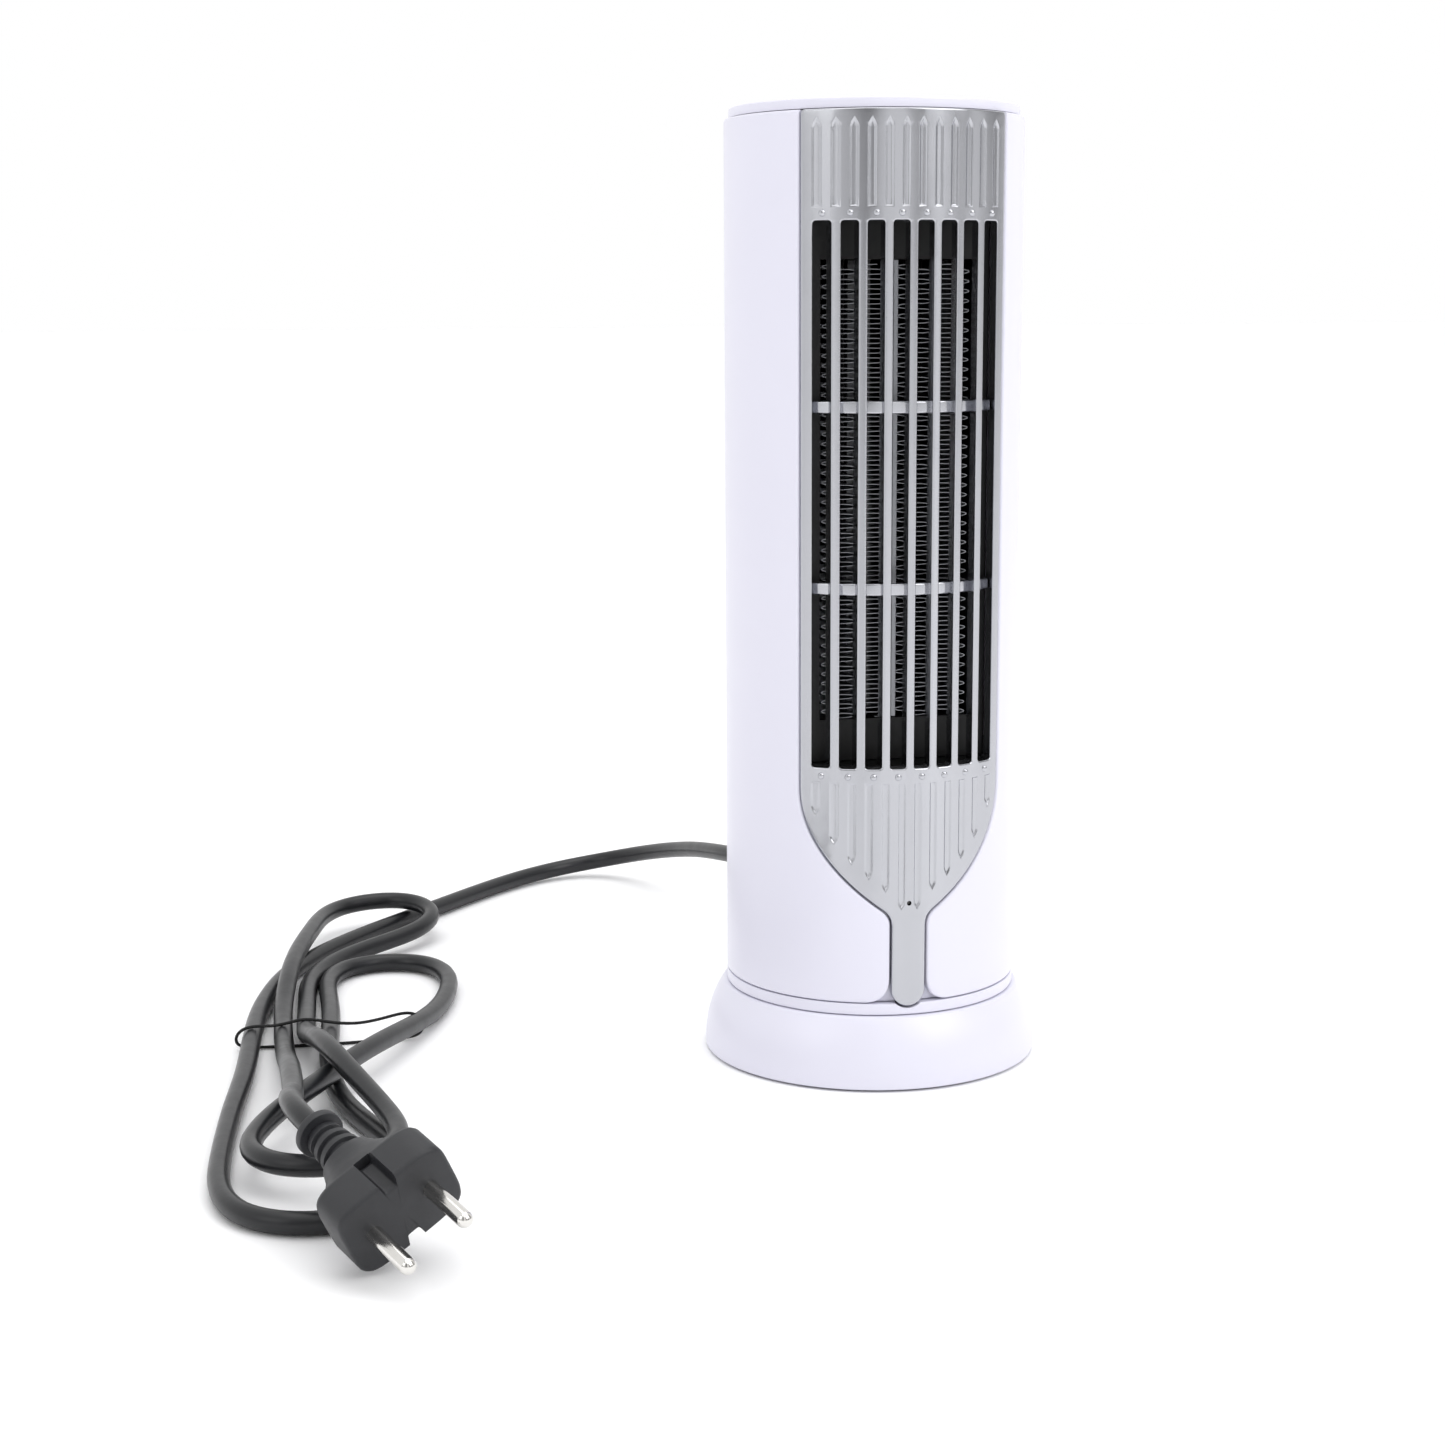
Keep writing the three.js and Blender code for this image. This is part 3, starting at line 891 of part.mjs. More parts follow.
// ---------------------------------------------------------------- plug
function plug() {
  const group = new THREE.Group();
  group.position.set(...PLUG_FACE);
  group.rotation.set(PLUG_ROLL * DEGREE, PLUG_PITCH * DEGREE, PLUG_YAW * DEGREE, 'ZYX');
  tower.add(group);

  // In the plug's own frame the pins point along +X and lie side by side along Y.
  const alongX = (profile, y = 0, steps = SMALL_STEPS) => {
    const loop = counterClockwise(profile).map(([r, x]) => new THREE.Vector2(r, x));
    const geometry = new THREE.LatheGeometry([...loop, loop[0].clone()], steps);
    return solid(geometry.rotateZ(-Math.PI / 2).translate(0, y, 0));
  };
  const w = PLUG_HALF_WIDTH;
  const h = PLUG_HALF_HEIGHT;
  const { halfWidth: notch, depth, taper } = PLUG_NOTCH;
  const face = new THREE.Shape();
  face.moveTo(w, PLUG_CHAMFER.z);
  face.lineTo(w, h - PLUG_SHOULDER.z);
  face.quadraticCurveTo(w - 1, h, w - PLUG_SHOULDER.x, h);
  face.lineTo(notch, h);
  face.lineTo(notch, h - depth);
  face.lineTo(-notch, h - depth);
  face.lineTo(-notch, h);
  face.lineTo(-w + PLUG_SHOULDER.x, h);
  face.quadraticCurveTo(-w + 1, h, -w, h - PLUG_SHOULDER.z);
  face.lineTo(-w, -PLUG_CHAMFER.z);
  face.lineTo(-w + PLUG_CHAMFER.x, -h);
  face.lineTo(-notch, -h);
  face.lineTo(-notch + taper, -h + depth);
  face.lineTo(notch - taper, -h + depth);
  face.lineTo(notch, -h);
  face.lineTo(w - PLUG_CHAMFER.x, -h);
  face.lineTo(w, -PLUG_CHAMFER.z);
  const block = new THREE.ExtrudeGeometry(
    face, { depth: PLUG_BLOCK, bevelEnabled: false, curveSegments: 5 });
  block.rotateX(Math.PI / 2).rotateZ(Math.PI / 2).translate(-PLUG_BLOCK, 0, 0);
  const neckFront = PLUG_BLOCK - PLUG_NECK.overlap;
  const neck = new THREE.CylinderGeometry(
    PLUG_NECK.back, PLUG_NECK.front, PLUG_NECK.end - neckFront, PLUG_NECK.sides);
  neck.scale(1, 1, PLUG_NECK.flatness).rotateZ(Math.PI / 2);
  neck.translate(-(PLUG_NECK.end + neckFront) / 2, 0, 0);
  const collarFront = -PLUG_RELIEF.end + PLUG_RELIEF.collarLength;
  const reliefFront = -PLUG_NECK.end + 1;
  const relief = alongX([
    [0, -PLUG_RELIEF.end], [PLUG_RELIEF.collar, -PLUG_RELIEF.end],
    [PLUG_RELIEF.collar, collarFront], [PLUG_RELIEF.thin, collarFront],
    [PLUG_RELIEF.thick, reliefFront], [0, reliefFront],
  ]);
  const seats = [-1, 1].map((side) => alongX([
    [0, -PIN_SEAT - GAP], [PIN_RADIUS + GAP, -PIN_SEAT - GAP], [PIN_RADIUS + GAP, 1], [0, 1],
  ], side * PIN_SPACING / 2));
  place('plug_body', cut(join(solid(block), solid(neck), relief), ...seats), CORD_PVC, group);
  for (const [i, side] of [-1, 1].entries()) {
    place(`plug_pin_${i + 1}`, alongX([
      [0, -PIN_SEAT], [PIN_RADIUS, -PIN_SEAT], [PIN_RADIUS, PIN_LENGTH - 1.6],
      [PIN_RADIUS - 0.6, PIN_LENGTH - 0.5], [PIN_RADIUS - 1.5, PIN_LENGTH], [0, PIN_LENGTH],
    ], side * PIN_SPACING / 2), NICKEL, group);
  }
}

base();
collar();
housing();
chromePanel();
decks();
heater();
fan();
powerSwitch();
wiring();
mainsLead();
plug();

export default tower;
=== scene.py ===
import math

import bmesh
import bpy
import numpy as np
from bpy.props import FloatProperty, FloatVectorProperty, IntProperty, PointerProperty
from mathutils import Euler, Matrix, Vector
from mathutils.geometry import delaunay_2d_cdt


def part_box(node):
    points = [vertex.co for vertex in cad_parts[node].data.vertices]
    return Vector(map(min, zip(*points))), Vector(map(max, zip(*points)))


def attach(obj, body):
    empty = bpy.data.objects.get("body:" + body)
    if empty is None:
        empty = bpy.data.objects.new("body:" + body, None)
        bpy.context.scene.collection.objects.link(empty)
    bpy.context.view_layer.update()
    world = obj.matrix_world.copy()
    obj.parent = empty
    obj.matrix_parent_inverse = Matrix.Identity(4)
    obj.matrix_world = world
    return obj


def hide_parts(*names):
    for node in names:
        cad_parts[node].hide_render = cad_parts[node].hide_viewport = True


bl_info = {
    "name": "Tower Fan Heater",
    "version": (1, 0, 0),
    "blender": (4, 5, 0),
    "location": "3D View > Sidebar > Heater",
    "description": "Builds the shells, chrome panel, heater core and mains lead of a fan heater",
    "category": "Add Mesh",
}

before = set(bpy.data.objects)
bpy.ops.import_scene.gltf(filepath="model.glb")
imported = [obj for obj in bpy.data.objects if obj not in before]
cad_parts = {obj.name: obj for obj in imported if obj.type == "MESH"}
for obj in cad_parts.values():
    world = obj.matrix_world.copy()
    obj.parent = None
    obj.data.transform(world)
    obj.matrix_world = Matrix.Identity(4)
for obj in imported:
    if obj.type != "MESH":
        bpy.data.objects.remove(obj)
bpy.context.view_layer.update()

MM = 0.001
GAP = 0.3 * MM

# ------------------------------------------------------------------ sizes read from the frame
BASE_LOW, BASE_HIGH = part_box("base_shell")
SHELL_LOW, SHELL_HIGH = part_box("front_shell")
CAP_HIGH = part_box("top_cap")[1]
PANEL_LOW, PANEL_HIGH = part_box("front_grille")
FIN_LOW, FIN_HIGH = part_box("fin_strip_1")
BODY_RADIUS = SHELL_HIGH.x
BODY_TOP = SHELL_HIGH.z
BASE_RADIUS = BASE_HIGH.x

# The whole lead in millimetres: from the gland it droops to the floor behind the tower, runs to
# the left, and is folded into a loose hank beside the base that ends in the plug.
LEAD_ROUTE = [
    (0, 88.5, 36.5), (0, 99, 36.5), (-4, 118, 36.1), (-10.5, 139, 34.9), (-17, 160, 32.7),
    (-21.5, 188, 28.4), (-25, 212, 23.6), (-31, 236, 17.9), (-40, 256, 12.2), (-54, 268, 7.3),
    (-73, 268.5, 4.6), (-92, 257, 3.8), (-110, 239, 3.7), (-129, 217, 3.7), (-144, 199.5, 3.7),
    (-156, 185.5, 3.7),
]
HANK_ROUTE = [
    # down the left side
    (-168, 171, 3.7), (-180.5, 154.5, 3.7), (-192.5, 135, 3.7), (-202, 112, 3.7),
    (-208.3, 85, 3.7), (-212, 57, 4.4), (-214.3, 27, 4.4), (-216.5, -4, 3.7),
    (-220.5, -34, 3.7), (-223, -62, 3.7), (-225.2, -90, 3.7),
    # outer fold at the front
    (-225.4, -114, 3.7), (-217.6, -135.1, 3.7), (-197, -143.9, 3.7), (-175.9, -135.1, 3.7),
    (-167.1, -114, 3.7),
    # back up the middle
    (-169.5, -91, 3.7), (-176.5, -68, 3.7), (-184, -46, 3.7), (-188, -22, 3.7), (-188.5, 4, 4),
    (-187, 30, 4.4), (-185, 58, 4.4), (-184.8, 84, 3.7),
    # open loop that bulges to the right
    (-184.8, 107, 3.7), (-178, 123.5, 3.7), (-161.5, 130.3, 3.7), (-145, 123.5, 3.7),
    (-138.2, 107, 3.7), (-140, 84, 3.7), (-147, 58, 3.7), (-158, 32, 6.5), (-170, 7, 9.8),
    (-183, -17, 10.8), (-195, -40, 10.6), (-206, -60, 10.6), (-214, -78, 9.6),
    # inner fold, lying on the outer one
    (-216.8, -94, 9.8), (-210, -110.5, 10.6), (-193.5, -117.3, 11), (-177, -110.5, 11),
    (-170.2, -94, 10.8), (-173.5, -73, 11.5), (-180.5, -52, 14.6), (-187.5, -32, 18.4),
    (-192, -10, 17.6), (-194.8, 12, 11.5), (-195.1, 34, 6), (-194, 58, 4.4), (-193, 82, 3.7),
    (-192, 103, 3.7), (-187.5, 120.5, 3.7),
    # far fold, crossing over the incoming lead
    (-179, 134.5, 4.2), (-168, 145.5, 5), (-156, 153.5, 6), (-144, 162.5, 7.5),
    (-136.5, 178, 9.4), (-143, 195, 11.2), (-159.5, 202, 10.8), (-176, 196, 10),
    (-184, 179, 10), (-187.5, 160, 10.9), (-191.5, 141, 11.2), (-195.8, 119, 11.2),
    (-199, 95, 10.6), (-202, 70, 6), (-202.8, 40, 4.4), (-202.8, 14, 5.5), (-202.6, -10, 10),
    (-202.3, -34, 16.6), (-202, -56, 18.8),
]
TAIL_ROUTE = [
    (-202.2, -78, 20.2), (-203, -90, 24.2), (-203.8, -103, 28.2), (-203.6, -116, 30.8),
    (-201.5, -126.8, 30.7), (-197.2, -135.1, 28.6),
]


# ------------------------------------------------------------------ settings
def length(label, description, value):
    return FloatProperty(
        name=label, description=description, default=value, min=0, precision=5,
        subtype="DISTANCE", unit="LENGTH")


def angle(label, description, degrees):
    return FloatProperty(
        name=label, description=description, default=math.radians(degrees),
        subtype="ANGLE", unit="ROTATION")


def to_linear(hex_colour):
    """An sRGB hex colour as linear red, green and blue."""
    values = [int(hex_colour[i:i + 2], 16) / 255 for i in (1, 3, 5)]
    return [v / 12.92 if v <= 0.04045 else ((v + 0.055) / 1.055) ** 2.4 for v in values]


def colour(label, description, hex_colour):
    return FloatVectorProperty(
        name=label, description=description, default=to_linear(hex_colour), size=3, min=0,
        max=1, subtype="COLOR")


class HousingSettings(bpy.types.PropertyGroup):
    fillet: length("Edge fillet", "Rounding of the shells' outer edges", 0.9 * MM)
    wall: length("Wall", "Thickness of the moulded shells", 2.2 * MM)
    seam: length("Panel seam", "Open joint round the chrome panel", 0.7 * MM)
    rear_angle: angle("Rear cover", "Half angle that the rear cover takes", 55)
    corner: length("Strip corner", "Rounding of the shell beside the strip", 8.6 * MM)
    skirt_bulge: FloatProperty(
        name="Skirt bulge", description="Exponent of the base skirt's outline", default=2.5)


class PanelSettings(bpy.types.PropertyGroup):
    thickness: length("Thickness", "Depth of the panel's skin", 2.4 * MM)
    bar_depth: length("Bar depth", "Depth of the bars between the slots", 5.5 * MM)
    slot_pitch: length("Slot pitch", "Spacing of the outlet slots", 7.95 * MM)
    slot_width: length("Slot width", "Clear width of one slot", 5.2 * MM)
    slot_count: IntProperty(name="Slots", description="Number of outlet slots", default=8)
    slot_lead_in: length("Slot lead-in", "Chamfer round each slot", 0.6 * MM)
    flute_pitch: length("Flute pitch", "Spacing of the flutes", 5.35 * MM)
    flute_width: length("Flute width", "Width of one flute", 3.0 * MM)
    flute_depth: length("Flute depth", "Depth of one flute", 0.5 * MM)
    flute_count: IntProperty(name="Flutes", description="Flutes above and below", default=12)
    dome_radius: length("Dome radius", "Radius of the small domes at the slot ends", 1.1 * MM)


class LeadSettings(bpy.types.PropertyGroup):
    radius: length("Lead radius", "Half the lead's diameter", 3.4 * MM)
    tie_radius: length("Tie radius", "Half the thickness of the wire tie", 0.55 * MM)
    pin_radius: length("Pin radius", "Half the diameter of a plug pin", 2.4 * MM)
    pin_length: length("Pin length", "Length of a pin in front of the plug", 19 * MM)
    pin_spacing: length("Pin spacing", "Distance between the two pins", 19 * MM)


class FinishSettings(bpy.types.PropertyGroup):
    housing: colour("Housing", "Moulded ABS shells", "#DEDDEA")
    chrome: colour("Panel", "Metallised panel", "#B9BABF")
    lead: colour("Lead", "PVC jacket of the lead", "#17181B")
    plug: colour("Plug", "PVC moulding of the plug", "#1D1E22")
    floor: colour("Floor", "Pale studio floor", "#FCFCFD")


class StageSettings(bpy.types.PropertyGroup):
    lens: FloatProperty(name="Lens", description="Focal length in mm", default=59.665)
    heading: angle("Heading", "Turn of the camera to the right of +Y", 11.676)
    pitch: angle("Pitch", "Tilt of the camera below level", 9.848)
    roll: angle("Roll", "Turn of the camera about its own axis", -0.298)


class HeaterSettings(bpy.types.PropertyGroup):
    housing: PointerProperty(type=HousingSettings)
    panel: PointerProperty(type=PanelSettings)
    lead: PointerProperty(type=LeadSettings)
    finish: PointerProperty(type=FinishSettings)
    stage: PointerProperty(type=StageSettings)


# ------------------------------------------------------------------ materials
def add(tree, kind, settings=None, values=None, links=None):
    """Adds a node, sets its attributes and input values, and links its inputs."""
    made = tree.nodes.new(kind)
    for key, value in (settings or {}).items():
        setattr(made, key, value)
    for key, value in (values or {}).items():
        made.inputs[key].default_value = value
    for key, (other, socket) in (links or {}).items():
        tree.links.new(other.outputs[socket], made.inputs[key])
    return made


def surface(name, rgb, **values):
    """A Principled material: the tree, its shader and its Object coordinates."""
    material = bpy.data.materials.new(name)
    material.use_nodes = True
    tree = material.node_tree
    tree.nodes.clear()
    shader = add(tree, "ShaderNodeBsdfPrincipled", values={"Base Color": (*rgb, 1), **values})
    add(tree, "ShaderNodeOutputMaterial", links={"Surface": (shader, "BSDF")})
    place = add(tree, "ShaderNodeTexCoord")
    return material, tree, shader, place


def mottle(tree, shader, place, rgb, size, amount):
    """Colour that drifts a little lighter and darker over patches of the given size."""
    noise = add(tree, "ShaderNodeTexNoise", values={"Scale": 1 / size, "Detail": 4},
                links={"Vector": (place, "Object")})
    dark = [c * (1 - amount) for c in rgb]
    light = [min(1, c * (1 + amount)) for c in rgb]
    mix = add(tree, "ShaderNodeMix", {"data_type": "RGBA"}, links={"Factor": (noise, "Fac")})
    mix.inputs["A"].default_value = (*dark, 1)
    mix.inputs["B"].default_value = (*light, 1)
    tree.links.new(mix.outputs["Result"], shader.inputs["Base Color"])


def gloss(tree, shader, place, size, low, high, stretch=(1, 1, 1)):
    """Roughness that varies between low and high over patches of the given size."""
    mapping = add(tree, "ShaderNodeMapping", values={"Scale": stretch},
                  links={"Vector": (place, "Object")})
    noise = add(tree, "ShaderNodeTexNoise", values={"Scale": 1 / size, "Detail": 6},
                links={"Vector": (mapping, "Vector")})
    spread = add(tree, "ShaderNodeMapRange", values={"To Min": low, "To Max": high},
                 links={"Value": (noise, "Fac")})
    tree.links.new(spread.outputs["Result"], shader.inputs["Roughness"])


def grain(tree, shader, place, size, height, stretch=(1, 1, 1), detail=3):
    """Fine relief of the given grain size and height, in metres."""
    mapping = add(tree, "ShaderNodeMapping", values={"Scale": stretch},
                  links={"Vector": (place, "Object")})
    noise = add(tree, "ShaderNodeTexNoise", values={"Scale": 1 / size, "Detail": detail},
                links={"Vector": (mapping, "Vector")})
    bump = add(tree, "ShaderNodeBump", values={"Strength": 1, "Distance": height},
               links={"Height": (noise, "Fac")})
    tree.links.new(bump.outputs["Normal"], shader.inputs["Normal"])


def finish(name, rgb, drift=None, sheen=None, relief=None, lay=(1, 1, 1), detail=3, **values):
    """A material with drifting colour (size, amount), sheen (size, low, high) and fine relief."""
    material, tree, shader, place = surface(name, rgb, **values)
    if drift:
        mottle(tree, shader, place, rgb, *drift)
    gloss(tree, shader, place, *sheen, stretch=lay)
    if relief:
        grain(tree, shader, place, *relief, stretch=lay, detail=detail)
    return material


def metallised_chrome(rgb):
    # ABS with a bright metallised skin, polished upright, with the slow waviness of a moulding.
    material = finish(
        "chrome_metallised", rgb, sheen=(20 * MM, 0.18, 0.24), relief=(30 * MM, 0.003 * MM),
        detail=0, Metallic=1, Roughness=0.3, Anisotropic=0.85, **{"Anisotropic Rotation": 0.25})
    tree = material.node_tree
    shader = next(node for node in tree.nodes if node.type == "BSDF_PRINCIPLED")
    round_z = add(tree, "ShaderNodeTangent", {"direction_type": "RADIAL", "axis": "Z"})
    tree.links.new(round_z.outputs["Tangent"], shader.inputs["Tangent"])
    return material


def make_finishes(chosen):
    """The materials by short name. Sizes are those of the real texture."""
    return {
        # White ABS from a polished mould: a semi-gloss skin with a faint orange peel.
        "abs": finish("abs_white_moulded", chosen.housing, (40 * MM, 0.012),
                      (9 * MM, 0.25, 0.36), (1.6 * MM, 0.004 * MM), Roughness=0.3, IOR=1.54),
        "chrome": metallised_chrome(chosen.chrome),
        # Heat-resistant nylon with a spark-eroded mould texture: dull black with a fine grain.
        "nylon": finish("nylon_black_textured", to_linear("#070708"), (6 * MM, 0.2),
                        (3 * MM, 0.42, 0.6), (0.5 * MM, 0.02 * MM), Roughness=0.5, IOR=1.53),
        # Grey polypropylene: slightly waxy, with a soft grain.
        "grey": finish("polypropylene_grey", to_linear("#9A9CA0"), (8 * MM, 0.05),
                       (4 * MM, 0.42, 0.58), (0.7 * MM, 0.015 * MM), Roughness=0.5, IOR=1.49),
        # Moulded nitrile rubber: matt, with a dusty bloom.
        "rubber": finish("rubber_nitrile", to_linear("#09090A"), (3 * MM, 0.25),
                         (2 * MM, 0.7, 0.9), (0.4 * MM, 0.03 * MM), Roughness=0.8, IOR=1.52),
        # Extruded PVC jacket: satin black with faint scuffs and a shallow lay of the cores.
        "cord": finish("pvc_jacket_extruded", chosen.lead, (12 * MM, 0.12),
                       (5 * MM, 0.26, 0.42), (2.2 * MM, 0.03 * MM), Roughness=0.4, IOR=1.45),
        # Injection-moulded PVC: greyer and duller than the jacket, finely textured.
        "plug": finish("pvc_plug_moulded", chosen.plug, (9 * MM, 0.1),
                       (4 * MM, 0.42, 0.58), (0.6 * MM, 0.02 * MM), Roughness=0.5, IOR=1.53),
        # Rolled aluminium foil of the fins: bright, with rolling lines along the strip.
        "aluminium": finish("aluminium_rolled", to_linear("#A4A6AA"), (7 * MM, 0.12),
                            (1.5 * MM, 0.25, 0.45), (1 * MM, 0.01 * MM), lay=(1, 0.1, 1),
                            Metallic=1, Roughness=0.35),
        # Zinc-plated steel: a greyish metal with a cloudy plating.
        "steel": finish("steel_zinc_plated", to_linear("#A9ABAE"), (4 * MM, 0.1),
                        (2 * MM, 0.25, 0.45), (0.5 * MM, 0.008 * MM), Metallic=1, Roughness=0.35),
        # Nickel-plated brass pins: bright, with faint turning marks.
        "nickel": finish("nickel_plated_brass", to_linear("#DEDCD8"), (5 * MM, 0.05),
                         (1.5 * MM, 0.1, 0.22), (0.8 * MM, 0.004 * MM),
                         Metallic=1, Roughness=0.16),
        # Tinted polycarbonate in front of the lamp: nearly black until the lamp lights.
        "lens": finish("polycarbonate_smoked", to_linear("#1A0D0C"), (1 * MM, 0.1),
                       (1 * MM, 0.08, 0.18), Roughness=0.12, IOR=1.58),
        # Matt paint on a smooth board.
        "floor": finish("paint_matt_pale", chosen.floor, (400 * MM, 0.004),
                        (60 * MM, 0.55, 0.65), Roughness=0.6),
    }


def finishes():
    """Every material by a short name, made once and kept for the rest of the build."""
    if not finishes.made:
        finishes.made = make_finishes(bpy.context.scene.heater.finish)
    return finishes.made


finishes.made = {}


# ------------------------------------------------------------------ meshes
def new_piece(name, points, faces, material, sharp=40):
    """A mesh object with its doubles merged, its faces out and its creases kept."""
    mesh = bpy.data.meshes.new(name)
    form = bmesh.new()
    corners = [form.verts.new(p) for p in points]
    for face in faces:
        if len(set(face)) > 2:
            form.faces.new([corners[i] for i in face])
    bmesh.ops.remove_doubles(form, verts=form.verts, dist=2e-6)
    bmesh.ops.dissolve_degenerate(form, edges=form.edges, dist=1e-6)
    bmesh.ops.recalc_face_normals(form, faces=form.faces)
    form.to_mesh(mesh)
    form.free()
    for polygon in mesh.polygons:
        polygon.use_smooth = True
    mesh.set_sharp_from_angle(angle=math.radians(sharp))
    mesh.materials.append(material)
    made = bpy.data.objects.new(name, mesh)
    bpy.context.scene.collection.objects.link(made)
    weighted = made.modifiers.new("even_shading", "WEIGHTED_NORMAL")
    weighted.keep_sharp = True
    return made


class Patchwork:
    """Gathers patches of a curved wall, drawn flat as (across, up) and wrapped to its surface."""

    def __init__(self, wrap, column=2 * MM, row=6 * MM):
        self.wrap = wrap
        self.column = column
        self.row = row
        self.points = []
        self.faces = []

    def put(self, flat, depth):
        """Adds wrapped points and returns the number of the first."""
        first = len(self.points)
        self.points += [self.wrap(a, z, depth) for a, z in flat]
        return first

    def strip(self, one, one_depth, other, other_depth, closed=True):
        """Joins two lines of equal count, each at its own depth."""
        a = self.put(one, one_depth)
        b = self.put(other, other_depth)
        count = len(one)
        for i in range(count if closed else count - 1):
            j = (i + 1) % count
            self.faces.append((a + i, a + j, b + j, b + i))

    def face(self, outer, holes, depth):
        """Fills the area inside the outer line and outside the holes."""
        loops = [np.array(line).round(8) for line in [outer, *holes]]
        low, high = loops[0].min(0), loops[0].max(0)
        across = np.arange(low[0] + self.column / 2, high[0], self.column)
        up = np.arange(low[1] + self.row / 2, high[1], self.row)
        seeds = np.stack(np.meshgrid(across, up), -1).reshape(-1, 2)
        seeds = seeds[inside(seeds, loops)]
        seeds = seeds[clear_of(seeds, loops, 0.3 * self.column)]
        edges = []
        first = 0
        for loop in loops:
            edges += [(first + i, first + (i + 1) % len(loop)) for i in range(len(loop))]
            first += len(loop)
        flat = [Vector(p) for p in np.concatenate(loops + [seeds])]
        points, _, triangles, _, _, _ = delaunay_2d_cdt(flat, edges, [], 0, 1e-9)
        centres = np.array([sum((points[i] for i in t), Vector((0, 0))) / len(t) for t in triangles])
        start = self.put([(p.x, p.y) for p in points], depth)
        for triangle, kept in zip(triangles, inside(centres, loops)):
            if kept:
                self.faces.append(tuple(start + i for i in triangle))

    def edge(self, line, fillet, bottom, closed=True, steps=4):
        """Rounds the wall's edge along the line and takes it down to the bottom depth."""
        rows = []
        for k in range(steps + 1):
            turn = k / steps * math.pi / 2
            rows.append((offset(line, fillet * (1 - math.sin(turn)), closed),
                         fillet * (1 - math.cos(turn))))
        rows.append((line, bottom))
        for (one, one_depth), (other, other_depth) in zip(rows, rows[1:]):
            self.strip(one, one_depth, other, other_depth, closed)

    def wall(self, outer, holes, fillet, hole_fillet, depth):
        """A whole wall: front face, rounded edges, sides and back face."""
        holes = [hole[::-1] for hole in holes]
        inner_line = offset(outer, fillet)
        grown = [offset(h, hole_fillet) for h in holes]
        self.face(inner_line, grown, 0)
        self.edge(outer, fillet, depth)
        for hole in holes:
            self.edge(hole, hole_fillet, depth)
        self.face(outer, holes, depth)

    def dish(self, line, width, depth, steps=6):
        """Sinks a smooth-sided hollow: the line is its floor, and its sides rise outwards."""
        rows = []
        for k in range(steps + 1):
            rise = k / steps
            rows.append((offset(line, width * rise), depth * (1 + math.cos(math.pi * rise)) / 2))
        for (one, one_depth), (other, other_depth) in zip(rows, rows[1:]):
            self.strip(one, one_depth, other, other_depth)
        self.face(line[::-1], [], depth)
        return rows[-1][0]

    def join(self, other):
        """Takes in another patchwork's points and faces."""
        self.take(other.points, other.faces)

    def take(self, points, faces):
        first = len(self.points)
        self.points += points
        self.faces += [tuple(first + i for i in face) for face in faces]

    def piece(self, name, material, sharp=40):
        return new_piece(name, self.points, self.faces, material, sharp)


def inside(points, loops):
    """Which points are inside an odd number of the loops."""
    odd = np.zeros(len(points), bool)
    for loop in loops:
        x0, y0 = loop[:, 0], loop[:, 1]
        x1, y1 = np.roll(x0, -1), np.roll(y0, -1)
        for ax, ay, bx, by in zip(x0, y0, x1, y1):
            if ay != by:
                crosses = (points[:, 1] > min(ay, by)) & (points[:, 1] <= max(ay, by))
                reach = ax + (points[:, 1] - ay) / (by - ay) * (bx - ax)
                odd ^= crosses & (points[:, 0] < reach)
    return odd


def clear_of(points, loops, distance):
    """Which points are further than the distance from every edge of the loops."""
    starts = np.concatenate(loops)
    spans = np.concatenate([np.roll(loop, -1, 0) - loop for loop in loops])
    squares = np.maximum((spans ** 2).sum(1), 1e-18)
    keep = np.ones(len(points), bool)
    for first in range(0, len(points), 400):
        from_start = points[first:first + 400, None] - starts[None]
        along = np.clip((from_start * spans).sum(2) / squares, 0, 1)
        away = np.linalg.norm(from_start - along[:, :, None] * spans, axis=2).min(1)
        keep[first:first + 400] = away > distance
    return keep


def offset(line, distance, closed=True):
    """The line moved to its left by the distance."""
    flat = np.array(line, float)
    ahead = np.roll(flat, -1, 0) - flat
    if not closed:
        ahead[-1] = ahead[-2]
    ahead /= np.linalg.norm(ahead, axis=1)[:, None]
    behind = np.roll(ahead, 1, 0)
    if not closed:
        behind[0] = ahead[0]
    left = np.stack([-(ahead + behind)[:, 1], (ahead + behind)[:, 0]], 1)
    left /= np.linalg.norm(left, axis=1)[:, None]
    square = np.stack([-ahead[:, 1], ahead[:, 0]], 1)
    reach = distance / np.maximum((left * square).sum(1), 0.5)
    return [tuple(p) for p in flat + left * reach[:, None]]


def arc(centre, radius, start, end, steps):
    """Points round part of a circle, angles in degrees."""
    turns = np.radians(np.linspace(start, end, steps + 1))
    return [(centre[0] + radius * math.cos(t), centre[1] + radius * math.sin(t)) for t in turns]


def rounded(low, high, radius, steps=4, finely=4 * MM):
    """A rounded rectangle, counter-clockwise, with its straight sides divided finely."""
    corners = [((high[0] - radius, low[1] + radius), -90), ((high[0] - radius, high[1] - radius), 0),
               ((low[0] + radius, high[1] - radius), 90), ((low[0] + radius, low[1] + radius), 180)]
    line = []
    for centre, start in corners:
        line += arc(centre, radius, start, start + 90, steps)
    return divided(line, finely)


def divided(line, finely):
    """A closed line with its long stretches divided into shorter ones."""
    out = []
    for one, other in zip(line, line[1:] + line[:1]):
        count = max(1, math.ceil(math.dist(one, other) / finely))
        out += [(one[0] + (other[0] - one[0]) * i / count, one[1] + (other[1] - one[1]) * i / count)
                for i in range(count)]
    return out


